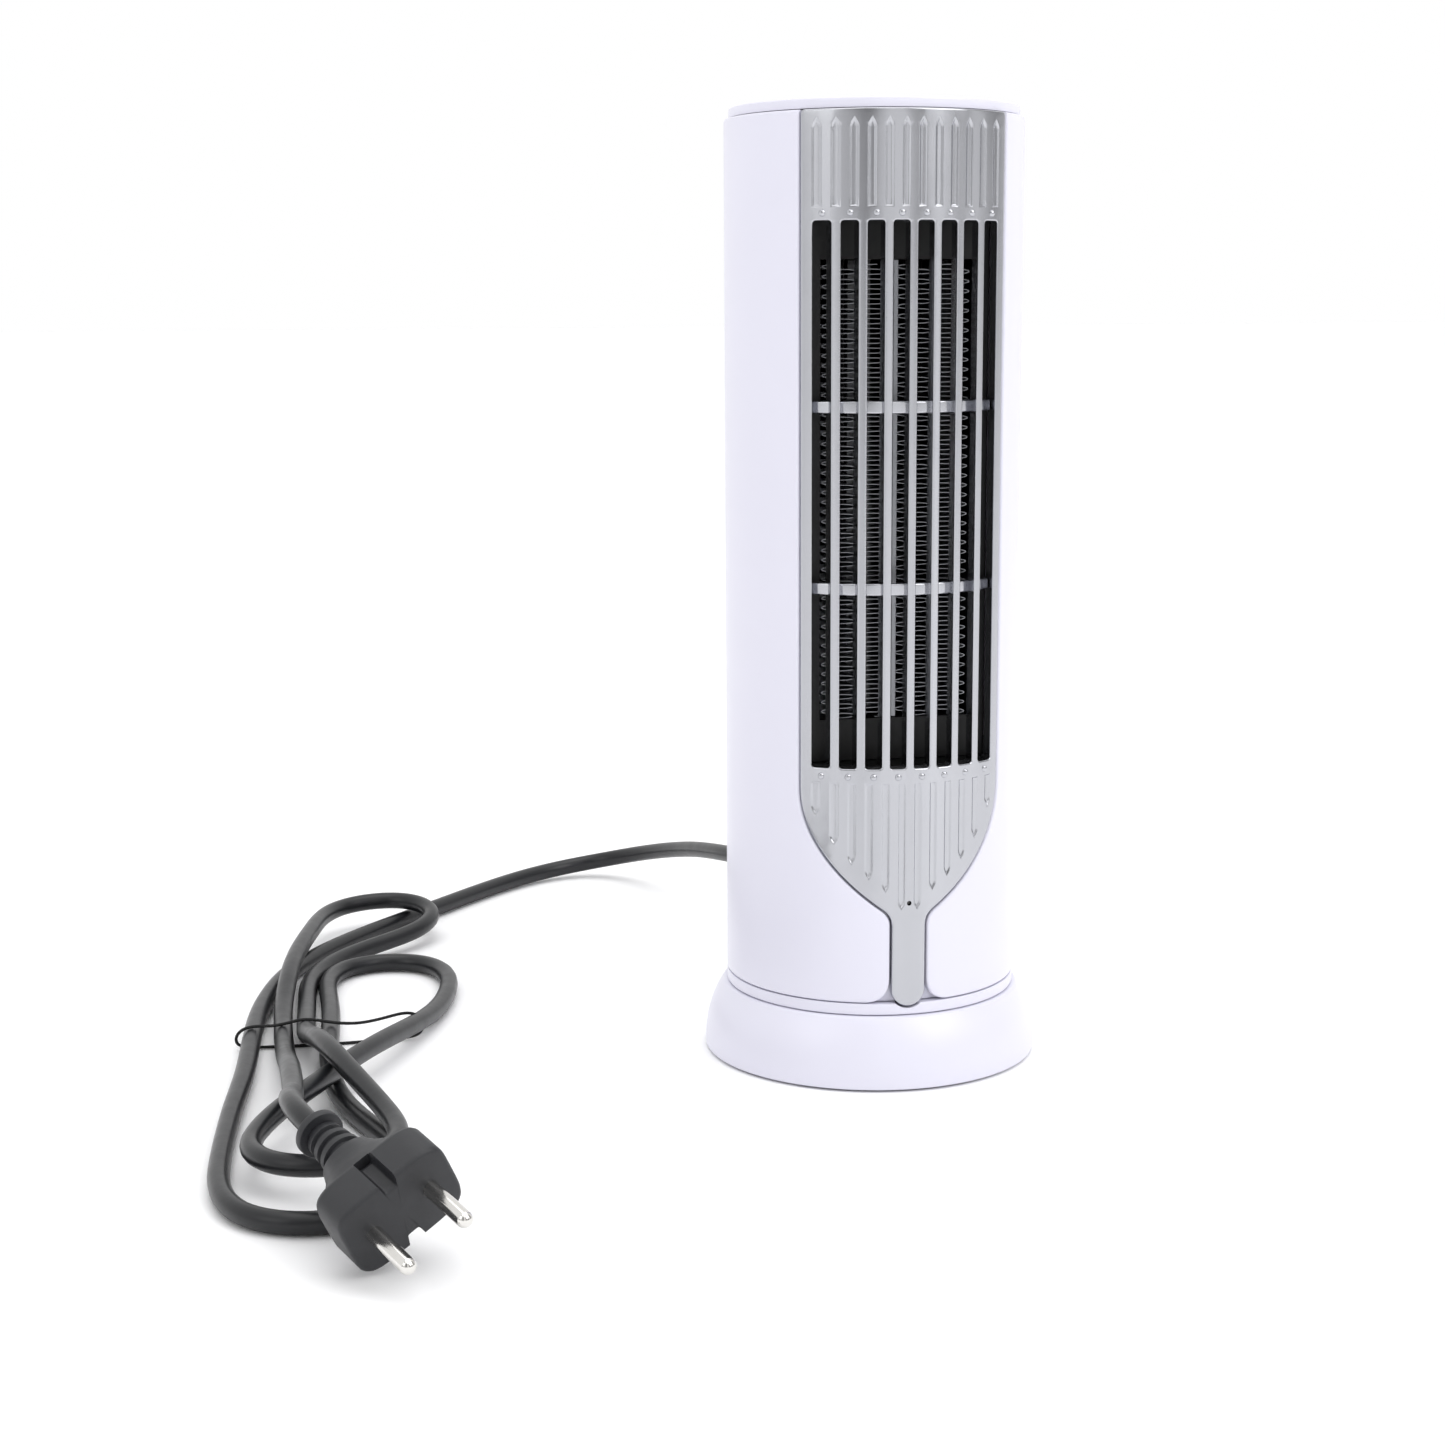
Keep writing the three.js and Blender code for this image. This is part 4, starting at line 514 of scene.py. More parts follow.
def quadratic(start, control, end, steps):
    """Points of a quadratic curve, without its first."""
    out = []
    for i in range(1, steps + 1):
        t = i / steps
        out.append(tuple((1 - t) ** 2 * s + 2 * t * (1 - t) * c + t * t * e
                         for s, c, e in zip(start, control, end)))
    return out


def turned(profile, steps=144, turn=None):
    """Points and faces of a closed [radius, height] profile turned about +Z, then moved by turn."""
    points = []
    faces = []
    count = len(profile)
    for i in range(steps):
        around = 2 * math.pi * i / steps
        for radius, height in profile:
            point = Vector((radius * math.cos(around), radius * math.sin(around), height))
            points.append(turn @ point if turn else point)
    for i in range(steps):
        a = i * count
        b = (i + 1) % steps * count
        for k in range(count):
            m = (k + 1) % count
            faces.append((a + k, b + k, b + m, a + m))
    return points, faces


def round_corner(before, corner, after, radius, steps=5):
    """A profile corner replaced by a short curve."""
    corner = Vector(corner)
    one = corner + (Vector(before) - corner).normalized() * radius
    other = corner + (Vector(after) - corner).normalized() * radius
    return [tuple(one)] + quadratic(tuple(one), tuple(corner), tuple(other), steps)


def eased(profile, radii):
    """A closed profile whose corners are rounded by the given radii, 0 leaving one sharp."""
    out = []
    for i, (point, radius) in enumerate(zip(profile, radii)):
        if radius:
            out += round_corner(profile[i - 1], point, profile[(i + 1) % len(profile)], radius)
        else:
            out.append(point)
    return out


def tower_wrap(across, up, depth):
    """Flat arc length and height to the tower's round surface, at a depth below it."""
    turn = across / BODY_RADIUS
    radius = BODY_RADIUS - depth
    return Vector((radius * math.sin(turn), -radius * math.cos(turn), up))


def panel_wrap(across, up, depth):
    """Front view width and height to the tower's front, at a depth below its surface."""
    radius = BODY_RADIUS - depth
    return Vector((across, -math.sqrt(radius ** 2 - across ** 2), up))


def arc_length(x):
    return BODY_RADIUS * math.asin(x / BODY_RADIUS)


def riding(piece, slot, *nodes):
    """The piece rides on the housing body and stands for the CAD nodes, which are hidden; the slot is
    not used.
    """
    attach(piece, "housing")
    if nodes:
        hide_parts(*nodes)
    return piece


# ------------------------------------------------------------------ outline of the chrome panel
PANEL_SIDE = PANEL_HIGH.x
STRIP_HALF = 5.7 * MM
STRIP_END = PANEL_LOW.z
OGIVE_TOP = 100 * MM
OGIVE_CONTROL = 77.8 * MM
SHOULDER = (8.4 * MM, 59.9 * MM)
SHOULDER_DROP = 2 * MM
STRIP_TOP = 54.6 * MM
SLOT_BOTTOM = 107.3 * MM
SLOT_TOP = BODY_TOP - 34.4 * MM
FIELD_END = 4.6 * MM
CROSS_BARS = 2
CROSS_BAR_HEIGHT = 4 * MM
CROSS_BAR_RECESS = 2.8 * MM
FLUTE_ABOVE_SLOTS = 4.1 * MM
FLUTE_BELOW_TOP = 3.3 * MM
FLUTE_ABOVE_OGIVE = 6 * MM
FLUTE_SIDE = 1 * MM
LAMP_LEVEL = 62.2 * MM
LAMP_HOLE = 0.8 * MM


def ogive(grow=0, steps=28):
    """The panel's right edge from the top of the ogive down to the strip's foot, as (x, z)."""
    side = PANEL_SIDE + grow
    strip = STRIP_HALF + grow
    shoulder = (SHOULDER[0] + 0.6 * grow, SHOULDER[1] - 0.8 * grow)
    line = [(side, OGIVE_TOP)]
    line += quadratic(line[-1], (side, OGIVE_CONTROL - grow), shoulder, steps)
    line += quadratic(line[-1], (strip, shoulder[1] - SHOULDER_DROP), (strip, STRIP_TOP), 6)
    return line


def panel_outline():
    """The whole panel, counter-clockwise from its top right corner."""
    top = BODY_TOP
    right = ogive()
    left = [(-x, z) for x, z in reversed(right)]
    foot = arc((0, STRIP_END + STRIP_HALF), STRIP_HALF, -180, 0, 20)
    corner = 1.2 * MM
    ends = arc((PANEL_SIDE - corner, top - corner), corner, 0, 90, 4)
    line = ends + [(-x, z) for x, z in reversed(ends)]
    line += left[::-1] + foot + right[::-1]
    return line


def shell_half():
    """The left half of the front shell, unrolled, counter-clockwise."""
    housing = bpy.context.scene.heater.housing
    rear = (math.pi - housing.rear_angle) * BODY_RADIUS - GAP
    bottom = SHELL_LOW.z
    strip = arc_length(STRIP_HALF + housing.seam)
    edge = [(arc_length(x), z) for x, z in ogive(housing.seam)]
    corner = [(strip + housing.corner, bottom)]
    corner += quadratic(corner[0], (strip, bottom), (strip, bottom + housing.corner), 14)
    right = corner + edge[::-1] + [(arc_length(PANEL_SIDE + housing.seam), BODY_TOP)]
    line = [(rear, bottom)] + right + [(rear, BODY_TOP)]
    return line


# ------------------------------------------------------------------ housing
COLLAR_BOTTOM = 24.3 * MM
WIRE_HOLE = 12 * MM
POCKET_DEPTH = 3 * MM
POCKET_WALL = 2 * MM
WINDOW_HALF = 32 * MM
INTAKE_COLUMNS = 11
INTAKE_PITCH = 5.6 * MM
INTAKE_HALF = 1.4 * MM
INTAKE_ROWS = [(118 * MM, 166 * MM), (171 * MM, 219 * MM), (224 * MM, 272 * MM)]
REAR_SCREW_X = 26 * MM
REAR_SCREW_LEVELS = (40 * MM, 294 * MM)
WELL_RADIUS = 4 * MM
WELL_OUTER = 5.2 * MM
WELL_LENGTH = 9 * MM
WELL_START = 10.5 * MM
PAD_FACE = 50.6 * MM
PAD_DEPTH = 3.4 * MM
PAD_HALF = (10.7 * MM, 13.7 * MM)
PAD_WINDOW_HALF = (6 * MM, 9 * MM)
SWITCH_LEVEL = 78 * MM


class HEATER_OT_base(bpy.types.Operator):
    """Build the flared base"""
    bl_idname = "heater.base"
    bl_label = "Base"

    def execute(self, context):
        housing = context.scene.heater.housing
        top = BASE_HIGH.z
        low = BASE_LOW.z
        top_radius = BODY_RADIUS + 1.2 * MM
        outer = []
        for i in range(25):
            z = low + (top - low) * i / 24
            flare = (BASE_RADIUS - top_radius) * (z / top) ** housing.skirt_bulge
            outer.append((BASE_RADIUS - flare, z))
        foot = round_corner((BASE_RADIUS - housing.wall, low), outer[0], outer[1], 0.6 * MM)
        rim = round_corner(outer[-2], outer[-1], (0, top), 0.8 * MM)
        deck = top - housing.wall
        inner = [(r - housing.wall, z) for r, z in reversed(outer) if z < deck]
        profile = foot + outer[1:-1] + rim + [(WIRE_HOLE, top), (WIRE_HOLE, deck)] + inner
        profile.append((BASE_RADIUS - housing.wall, low))
        points, faces = turned(profile)
        shell = new_piece("base_skirt", points, faces, finishes()["abs"])
        riding(shell, "white_housing", "base_shell")
        return {"FINISHED"}


class HEATER_OT_collar(bpy.types.Operator):
    """Build the plain ring between the base and the tower"""
    bl_idname = "heater.collar"
    bl_label = "Collar"

    def execute(self, context):
        housing = context.scene.heater.housing
        half = math.pi * BODY_RADIUS
        bottom = COLLAR_BOTTOM
        high = SHELL_LOW.z - GAP
        strip = STRIP_HALF + housing.seam
        centre = (0, STRIP_END + STRIP_HALF)
        meets = math.degrees(math.asin((centre[1] - high) / strip))
        notch = arc(centre, strip, -180 + meets, -meets, 16)
        steps = 90
        lower = [(-half + 2 * half * i / steps, bottom) for i in range(steps + 1)]
        left = np.linspace(-half, notch[0][0], 45)[:-1]
        right = np.linspace(notch[-1][0], half, 45)[1:]
        upper = [(a, high) for a in left] + notch + [(a, high) for a in right]
        ring = Patchwork(tower_wrap)
        fillet = 0.35 * MM
        depth = 2 * housing.wall
        backwards = upper[::-1]
        ring.face(offset(lower, fillet, False) + offset(backwards, fillet, False), [], 0)
        ring.edge(lower, fillet, depth, closed=False)
        ring.edge(backwards, fillet, depth, closed=False)
        ring.face(lower + backwards, [], depth)
        collar = ring.piece("collar_ring", finishes()["abs"])
        riding(collar, "white_housing", "collar")
        return {"FINISHED"}


class HEATER_OT_front_shell(bpy.types.Operator):
    """Build the white front shell in its two visible halves"""
    bl_idname = "heater.front_shell"
    bl_label = "Front shell"

    def execute(self, context):
        housing = context.scene.heater.housing
        sides = Patchwork(tower_wrap)
        right = divided(shell_half(), 3 * MM)
        left = [(-a, z) for a, z in reversed(right)]
        for line in (right, left):
            line = line if signed_area(line) > 0 else line[::-1]
            sides.wall(line, [], housing.fillet, 0, housing.wall)
        # The floor of the pocket that the chrome panel sits in joins the halves behind it.
        floor = PANEL_SIDE + housing.seam + housing.wall
        low, high = SHELL_LOW.z, BODY_TOP - 0.5 * MM
        window = rounded((-WINDOW_HALF, SLOT_BOTTOM - FIELD_END - housing.seam),
                         (WINDOW_HALF, SLOT_TOP + FIELD_END + housing.seam), 1 * MM)
        outline = rounded((-floor, low), (floor, high), 1 * MM)
        behind = Patchwork(sunk(POCKET_DEPTH))
        behind.wall(outline, [window], 0.1 * MM, 0.1 * MM, POCKET_WALL)
        sides.join(behind)
        shell = sides.piece("front_casing", finishes()["abs"])
        riding(shell, "white_housing", "front_shell")
        return {"FINISHED"}


def signed_area(line):
    flat = np.array(line)
    ahead = np.roll(flat, -1, 0)
    return (flat[:, 0] * ahead[:, 1] - ahead[:, 0] * flat[:, 1]).sum() / 2


class HEATER_OT_rear_cover(bpy.types.Operator):
    """Build the rear cover with its intake slots, screw wells and switch pad"""
    bl_idname = "heater.rear_cover"
    bl_label = "Rear cover"

    def execute(self, context):
        housing = context.scene.heater.housing
        half = housing.rear_angle * BODY_RADIUS - GAP
        bottom, top = SHELL_LOW.z, BODY_TOP

        def wrap(across, up, depth):
            turn = across / BODY_RADIUS
            radius = BODY_RADIUS - depth
            return Vector((-radius * math.sin(turn), radius * math.cos(turn), up))

        holes = []
        for i in range(INTAKE_COLUMNS):
            x = arc_length((i - (INTAKE_COLUMNS - 1) / 2) * INTAKE_PITCH)
            for low, high in INTAKE_ROWS:
                holes.append(rounded((x - INTAKE_HALF, low), (x + INTAKE_HALF, high), 1.2 * MM))
        wells = [(side * REAR_SCREW_X, z) for side in (-1, 1) for z in REAR_SCREW_LEVELS]
        for x, z in wells:
            holes.append(arc((arc_length(x), z), WELL_RADIUS, 0, 360, 28)[:-1])
        cover = Patchwork(wrap)
        outline = rounded((-half, bottom), (half, top), 1 * MM)
        cover.wall(outline, holes, housing.fillet, 0.5 * MM, housing.wall)
        for x, z in wells:
            sleeve = [(WELL_RADIUS, 0), (WELL_OUTER, 0), (WELL_OUTER, WELL_LENGTH),
                      (WELL_RADIUS, WELL_LENGTH)]
            start = math.sqrt(BODY_RADIUS ** 2 - x ** 2) - WELL_START
            place = Matrix.Translation((x, start, z)) @ Matrix.Rotation(-math.pi / 2, 4, "X")
            points, faces = turned(sleeve, 28, place)
            cover.take(points, faces)
        pad = Patchwork(lambda across, up, depth: Vector((-across, PAD_FACE - depth, up)))
        outer = self.centred(PAD_HALF, 2 * MM)
        window = self.centred(PAD_WINDOW_HALF, 1 * MM)
        pad.wall(outer, [window], 0.6 * MM, 0.2 * MM, PAD_DEPTH)
        cover.join(pad)
        made = cover.piece("rear_casing", finishes()["abs"])
        riding(made, "white_housing", "rear_cover")
        return {"FINISHED"}

    def centred(self, half, radius):
        """A rounded rectangle about the middle of the power switch."""
        return rounded((-half[0], SWITCH_LEVEL - half[1]), (half[0], SWITCH_LEVEL + half[1]), radius)


class HEATER_OT_top_cap(bpy.types.Operator):
    """Build the slightly inset top cap"""
    bl_idname = "heater.top_cap"
    bl_label = "Top cap"

    def execute(self, context):
        low, high = BODY_TOP + GAP, CAP_HIGH.z
        radius = CAP_HIGH.x
        rim = round_corner((radius, low), (radius, high), (0, high), 0.8 * MM)
        profile = [(0, low), (radius, low)] + rim + [(radius / 2, high), (0, high)]
        points, faces = turned(profile)
        cap = new_piece("cap", points, faces, finishes()["abs"])
        riding(cap, "white_housing", "top_cap")
        return {"FINISHED"}


# ------------------------------------------------------------------ chrome panel
def repeated(name, template, material, across, up, start):
    """Copies of a template on a grid, placed by Geometry Nodes and made into one plain mesh."""
    tree = bpy.data.node_groups.new(name, "GeometryNodeTree")
    face = tree.interface
    face.new_socket("Geometry", in_out="OUTPUT", socket_type="NodeSocketGeometry")
    sockets = {}
    wanted = [("Template", "NodeSocketObject", template), ("Count across", "NodeSocketInt", across[0]),
              ("Step across", "NodeSocketFloat", across[1]), ("Count up", "NodeSocketInt", up[0]),
              ("Step up", "NodeSocketFloat", up[1]), ("Start", "NodeSocketVector", start)]
    for label, kind, _ in wanted:
        sockets[label] = face.new_socket(label, in_out="INPUT", socket_type=kind)
    entry = add(tree, "NodeGroupInput")
    side = add(tree, "ShaderNodeCombineXYZ", links={"X": (entry, "Step across")})
    rise = add(tree, "ShaderNodeCombineXYZ", links={"Z": (entry, "Step up")})
    row = add(tree, "GeometryNodeMeshLine", links={
        "Count": (entry, "Count across"), "Offset": (side, "Vector"),
        "Start Location": (entry, "Start")})
    column = add(tree, "GeometryNodeMeshLine", links={
        "Count": (entry, "Count up"), "Offset": (rise, "Vector")})
    grid = add(tree, "GeometryNodeInstanceOnPoints",
               links={"Points": (row, "Mesh"), "Instance": (column, "Mesh")})
    spots = add(tree, "GeometryNodeRealizeInstances", links={"Geometry": (grid, "Instances")})
    info = add(tree, "GeometryNodeObjectInfo", links={"Object": (entry, "Template")})
    copies = add(tree, "GeometryNodeInstanceOnPoints",
                 links={"Points": (spots, "Geometry"), "Instance": (info, "Geometry")})
    solid = add(tree, "GeometryNodeRealizeInstances", links={"Geometry": (copies, "Instances")})
    painted = add(tree, "GeometryNodeSetMaterial", values={"Material": material},
                  links={"Geometry": (solid, "Geometry")})
    add(tree, "NodeGroupOutput", links={"Geometry": (painted, "Geometry")})
    holder = bpy.data.objects.new(name, bpy.data.meshes.new(name))
    bpy.context.scene.collection.objects.link(holder)
    modifier = holder.modifiers.new(name, "NODES")
    modifier.node_group = tree
    for label, _, value in wanted:
        modifier[sockets[label].identifier] = value
    graph = bpy.context.evaluated_depsgraph_get()
    mesh = bpy.data.meshes.new_from_object(holder.evaluated_get(graph))
    holder.modifiers.remove(modifier)
    holder.data = mesh
    bpy.data.objects.remove(template)
    return holder


def sunk(depth):
    """The panel's wrap, starting at a depth below its face."""
    return lambda across, up, below: panel_wrap(across, up, below + depth)


class HEATER_OT_panel(bpy.types.Operator):
    """Build the chrome panel with its slots, flutes, cross-bars and domes"""
    bl_idname = "heater.panel"
    bl_label = "Chrome panel"

    def execute(self, context):
        panel = context.scene.heater.panel
        chrome = finishes()["chrome"]
        centres = [(i - (panel.slot_count - 1) / 2) * panel.slot_pitch
                   for i in range(panel.slot_count)]
        half = panel.slot_width / 2
        slots = [rounded((x - half, SLOT_BOTTOM), (x + half, SLOT_TOP), 0.9 * MM) for x in centres]
        lamp = arc((0, LAMP_LEVEL), LAMP_HOLE, 0, 360, 20)[:-1]
        side = FLUTE_SIDE
        flutes = self.flutes(panel, side)
        skin = Patchwork(panel_wrap)
        outline = divided(panel_outline(), 4 * MM)
        fillet = 0.6 * MM
        openings = [offset(slot[::-1], panel.slot_lead_in) for slot in slots]
        mouths = [skin.dish(flute[::-1], side, panel.flute_depth) for flute in flutes]
        skin.face(offset(outline, fillet), openings + mouths + [lamp[::-1]], 0)
        skin.edge(outline, fillet, panel.thickness)
        for slot in slots:
            skin.edge(slot[::-1], panel.slot_lead_in, panel.thickness)
        skin.strip(lamp, 0, lamp, panel.thickness)
        skin.face(outline, slots + [lamp], panel.thickness)
        riding(skin.piece("panel_skin", chrome, 30), "chrome_panel", "front_grille")

        field = centres[-1] + half + 0.9 * MM
        block = Patchwork(sunk(panel.thickness + 0.02 * MM))
        block_line = rounded((-field, SLOT_BOTTOM - FIELD_END), (field, SLOT_TOP + FIELD_END), 1 * MM)
        block.wall(block_line, slots, 0.1 * MM, 0.05 * MM, panel.bar_depth - panel.thickness)
        riding(block.piece("panel_bars", chrome, 30), "chrome_panel")

        rails = Patchwork(sunk(CROSS_BAR_RECESS))
        for i in range(CROSS_BARS):
            middle = SLOT_BOTTOM + (SLOT_TOP - SLOT_BOTTOM) * (i + 1) / (CROSS_BARS + 1)
            low, high = middle - CROSS_BAR_HEIGHT / 2, middle + CROSS_BAR_HEIGHT / 2
            rail = rounded((-field + MM, low), (field - MM, high), 1 * MM, finely=2 * MM)
            rails.wall(rail, [], 0.6 * MM, 0, 2.5 * MM)
        riding(rails.piece("panel_cross_bars", chrome, 30), "chrome_panel")
        self.domes(panel, centres, chrome)
        return {"FINISHED"}

    def flutes(self, panel, side):
        """Floor outlines of the flutes above the slots and of those that run out at the ogive."""
        half = panel.flute_width / 2 - side
        foot = SLOT_TOP + FLUTE_ABOVE_SLOTS + side
        head = BODY_TOP - FLUTE_BELOW_TOP - side
        top = SLOT_BOTTOM - FIELD_END - side
        point = 1.6 * MM
        lines = []
        for i in range(panel.flute_count):
            x = (i - (panel.flute_count - 1) / 2) * panel.flute_pitch
            lines.append(self.bullet(x, half, foot, head, point))
            low = self.ogive_level(abs(x) + half + side) + FLUTE_ABOVE_OGIVE + side
            lines.append(self.bullet(x, half, top, low, -point))
        return lines

    def bullet(self, x, half, flat_end, tip, point):
        """A slim outline, square at one end and pointed at the other, counter-clockwise."""
        turn = 1 if point > 0 else -1
        neck = tip - point
        bend = tip - 0.35 * point
        line = [(x - turn * half, flat_end), (x + turn * half, flat_end), (x + turn * half, neck)]
        line += quadratic(line[-1], (x + turn * 0.8 * half, bend), (x, tip), 4)
        line += quadratic((x, tip), (x - turn * 0.8 * half, bend), (x - turn * half, neck), 4)
        return divided(line, 3 * MM)

    def ogive_level(self, x):
        """The height at which the ogive is as wide as x."""
        line = ogive()
        widths = [p[0] for p in line][::-1]
        heights = [p[1] for p in line][::-1]
        return float(np.interp(x, widths, heights))

    def domes(self, panel, centres, chrome):
        """One small dome above and one below each slot."""
        radius = panel.dome_radius
        profile = [(0, -0.3 * MM)] + [(radius, -0.3 * MM)]
        profile += [(radius * math.cos(t), 0.6 * radius * math.sin(t))
                    for t in np.linspace(0, math.pi / 2, 7)]
        points, faces = turned(profile, 24, Matrix.Rotation(math.pi / 2, 4, "X"))
        template = new_piece("dome_form", points, faces, chrome)
        low = SLOT_BOTTOM - 2.7 * MM
        high = SLOT_TOP + 2.4 * MM
        made = repeated("panel_domes", template, chrome, (len(centres), panel.slot_pitch),
                        (2, high - low), (centres[0], 0, low))
        for vertex in made.data.vertices:
            nearest = min(centres, key=lambda x: abs(x - vertex.co.x))
            vertex.co.y -= math.sqrt(BODY_RADIUS ** 2 - nearest ** 2)
        for polygon in made.data.polygons:
            polygon.use_smooth = True
        riding(made, "chrome_panel")


class HEATER_OT_heater_core(bpy.types.Operator):
    """Build the folded aluminium fins seen behind the slots"""
    bl_idname = "heater.core"
    bl_label = "Heater core"

    def execute(self, context):
        foil = finishes()["aluminium"]
        low, high = FIN_LOW, FIN_HIGH
        wave = 3.15 * MM
        half = 5.7 * MM
        thick = 0.22 * MM
        back, front = high.y - 0.4 * MM, low.y
        centre = []
        for i in range(33):
            t = i / 32
            lean = math.sin(2 * math.pi * t)
            squared = math.copysign(abs(lean) ** 0.35, lean)
            centre.append((half * squared, wave * t))
        upper = offset(centre, thick / 2, closed=False)
        lower = offset(centre, -thick / 2, closed=False)
        ring = upper + lower[::-1]
        points = [(x, y, z) for y in (front, back) for x, z in ring]
        count = len(ring)
        faces = [(i, (i + 1) % count, count + (i + 1) % count, count + i) for i in range(count)]
        middle = len(centre)
        for first in (0, count):
            for i in range(middle - 1):
                faces.append((first + i, first + i + 1, first + count - 2 - i, first + count - 1 - i))
        template = new_piece("fin_form", points, faces, foil, 50)
        levels = int((high.z - low.z) / wave)
        strips = 4
        pitch = (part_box("fin_strip_4")[0].x - low.x) / (strips - 1)
        first = (low.x + high.x) / 2
        fins = repeated("heater_fins", template, foil, (strips, pitch), (levels, wave),
                        (first, 0, low.z))
        riding(fins, "fin_aluminium", "fin_strip_1", "fin_strip_2", "fin_strip_3", "fin_strip_4")
        return {"FINISHED"}


# ------------------------------------------------------------------ mains lead
LEAD_LEVEL = 36.5
INSIDE_GLAND = [(0, 50.5, LEAD_LEVEL), (0, 70, LEAD_LEVEL)]
PLUG_SPOT = (-176.3, -175.2, 18.3)
PLUG_TURN = (30, 12.8, -62.5)
PLUG_BLOCK_END = -14.2
NOTCH_HALF = 2.6
NOTCH_DEPTH = 3.4
PIN_ROOT = 6 * MM
GLAND_START = 50.1
GLAND_END = 88.1
GLAND_BORE = 3.45
GLAND_RIBS = 7
TIE_Y = 36


def spline(name, points, radius, material, cyclic=False):
    """A round curve of one cubic spline through the neighbourhood of its points."""
    data = bpy.data.curves.new(name, "CURVE")
    data.dimensions = "3D"
    data.bevel_depth = radius
    data.bevel_resolution = 6
    data.resolution_u = 8
    data.use_fill_caps = not cyclic
    line = data.splines.new("NURBS")
    line.points.add(len(points) - 1)
    for spot, point in zip(line.points, points):
        spot.co = (*(c * MM for c in point), 1)
    line.order_u = 4
    line.use_endpoint_u = not cyclic
    line.use_cyclic_u = cyclic
    data.materials.append(material)
    made = bpy.data.objects.new(name, data)
    bpy.context.scene.collection.objects.link(made)
    return made


class HEATER_OT_lead(bpy.types.Operator):
    """Build the mains lead, its gland, its wire tie and its plug"""
    bl_idname = "heater.lead"
    bl_label = "Mains lead"

    def execute(self, context):
        lead = context.scene.heater.lead
        route = INSIDE_GLAND + LEAD_ROUTE + HANK_ROUTE + TAIL_ROUTE
        cord = spline("mains_lead", route, lead.radius, finishes()["cord"])
        riding(cord, "cord_pvc", "cord_run", "cord_hank", "cord_tail")
        body, pins = self.plug(lead)
        self.gland()
        self.tie(lead)
        return {"FINISHED"}

    def plug(self, lead):
        """The moulded plug about its own axis, then put at the end of the lead."""
        place = Matrix.Translation(Vector(PLUG_SPOT) * MM)
        for axis, degrees in reversed(list(zip("XYZ", PLUG_TURN))):
            place = place @ Matrix.Rotation(math.radians(degrees), 4, axis)
        # Stations along the plug: distance behind its face, half width, half height, squareness.
        stations = [(0, 16.4, 11.4, 5), (-0.5, 17.2, 12.2, 5), (-1.4, 17.6, 12.6, 5),
                    (-12, 17.6, 12.6, 5), (-13.3, 17.2, 12.2, 5), (-14, 16.2, 11.4, 4.5),
                    (-14.6, 15.4, 10.9, 3.5), (-19, 12.6, 9, 3), (-24, 9.8, 7, 2.5),
                    (-29, 8, 5.8, 2.2)]
        for i in range(3):
            start = -29.6 - 4.4 * i
            size = 6.4 - 0.5 * i
            stations += [(start, size - 1.2, size - 1.4, 2), (start - 1.3, size - 1.2, size - 1.4, 2),
                         (start - 1.7, size, size - 0.4, 2), (start - 3.6, size - 0.1, size - 0.5, 2)]
        stations += [(-43, 4.4, 4.4, 2), (-43.4, 6.8, 6.8, 2), (-43.8, 7, 7, 2), (-45.6, 7, 7, 2),
                     (-46, 6.7, 6.7, 2)]
        steps = 240
        points = []
        for along, wide, high, square in stations:
            for i in range(steps):
                t = 2 * math.pi * i / steps
                reach = (abs(math.cos(t)) ** square + abs(math.sin(t)) ** square) ** (-1 / square)
                y = wide * reach * math.cos(t)
                z = high * reach * math.sin(t)
                if along > PLUG_BLOCK_END and abs(y) < NOTCH_HALF:
                    z -= math.copysign(NOTCH_DEPTH, z) * (1 - (y / NOTCH_HALF) ** 8)
                points.append(place @ (Vector((along, y, z)) * MM))
        faces = []
        for k in range(len(stations) - 1):
            for i in range(steps):
                j = (i + 1) % steps
                faces.append((k * steps + i, k * steps + j, (k + 1) * steps + j, (k + 1) * steps + i))
        for k, along in ((0, 0), (len(stations) - 1, -46)):
            middle = len(points)
            points.append(place @ (Vector((along, 0, 0)) * MM))
            faces += [(middle, k * steps + i, k * steps + (i + 1) % steps) for i in range(steps)]
        body = new_piece("plug_moulding", points, faces, finishes()["plug"], 50)
        riding(body, "cord_pvc", "plug_body")
        radius = lead.pin_radius
        profile = [(0, -PIN_ROOT), (radius, -PIN_ROOT)]
        profile += [(radius * math.cos(t), lead.pin_length - radius + radius * math.sin(t))
                    for t in np.linspace(0, math.pi / 2, 8)]
        points = []
        faces = []
        for side in (-1, 1):
            spot = Matrix.Translation((0, side * lead.pin_spacing / 2, 0))
            forward = Matrix.Rotation(math.pi / 2, 4, "Y")
            some, those = turned(profile, 36, place @ spot @ forward)
            faces += [tuple(len(points) + i for i in face) for face in those]
            points += some
        pins = new_piece("plug_contacts", points, faces, finishes()["nickel"])
        riding(pins, "nickel_pin", "plug_pin_1", "plug_pin_2")
        return body, pins

    def gland(self):
        """The tapered strain relief with its ribs."""
        profile = [(GLAND_BORE, GLAND_START), (7.4, GLAND_START), (7.4, 51.7), (7.0, 52.1)]
        start = 53.5
        pitch = (GLAND_END - start) / GLAND_RIBS
        for i in range(GLAND_RIBS):
            radius = 6.4 - 2.1 * i / (GLAND_RIBS - 1)
            low = start + pitch * i
            profile += [(radius - 0.7, low), (radius, low + 0.4), (radius, low + 0.6 * pitch),
                        (radius - 0.7, low + 0.6 * pitch + 0.4)]
        profile += [(GLAND_BORE, GLAND_END)]
        place = Matrix.Translation((0, 0, LEAD_LEVEL * MM)) @ Matrix.Rotation(-math.pi / 2, 4, "X")
        scaled = [(r * MM, y * MM) for r, y in profile]
        points, faces = turned(scaled, 48, place)
        made = new_piece("lead_gland", points, faces, finishes()["plug"])
        riding(made, "cord_pvc", "cord_gland")

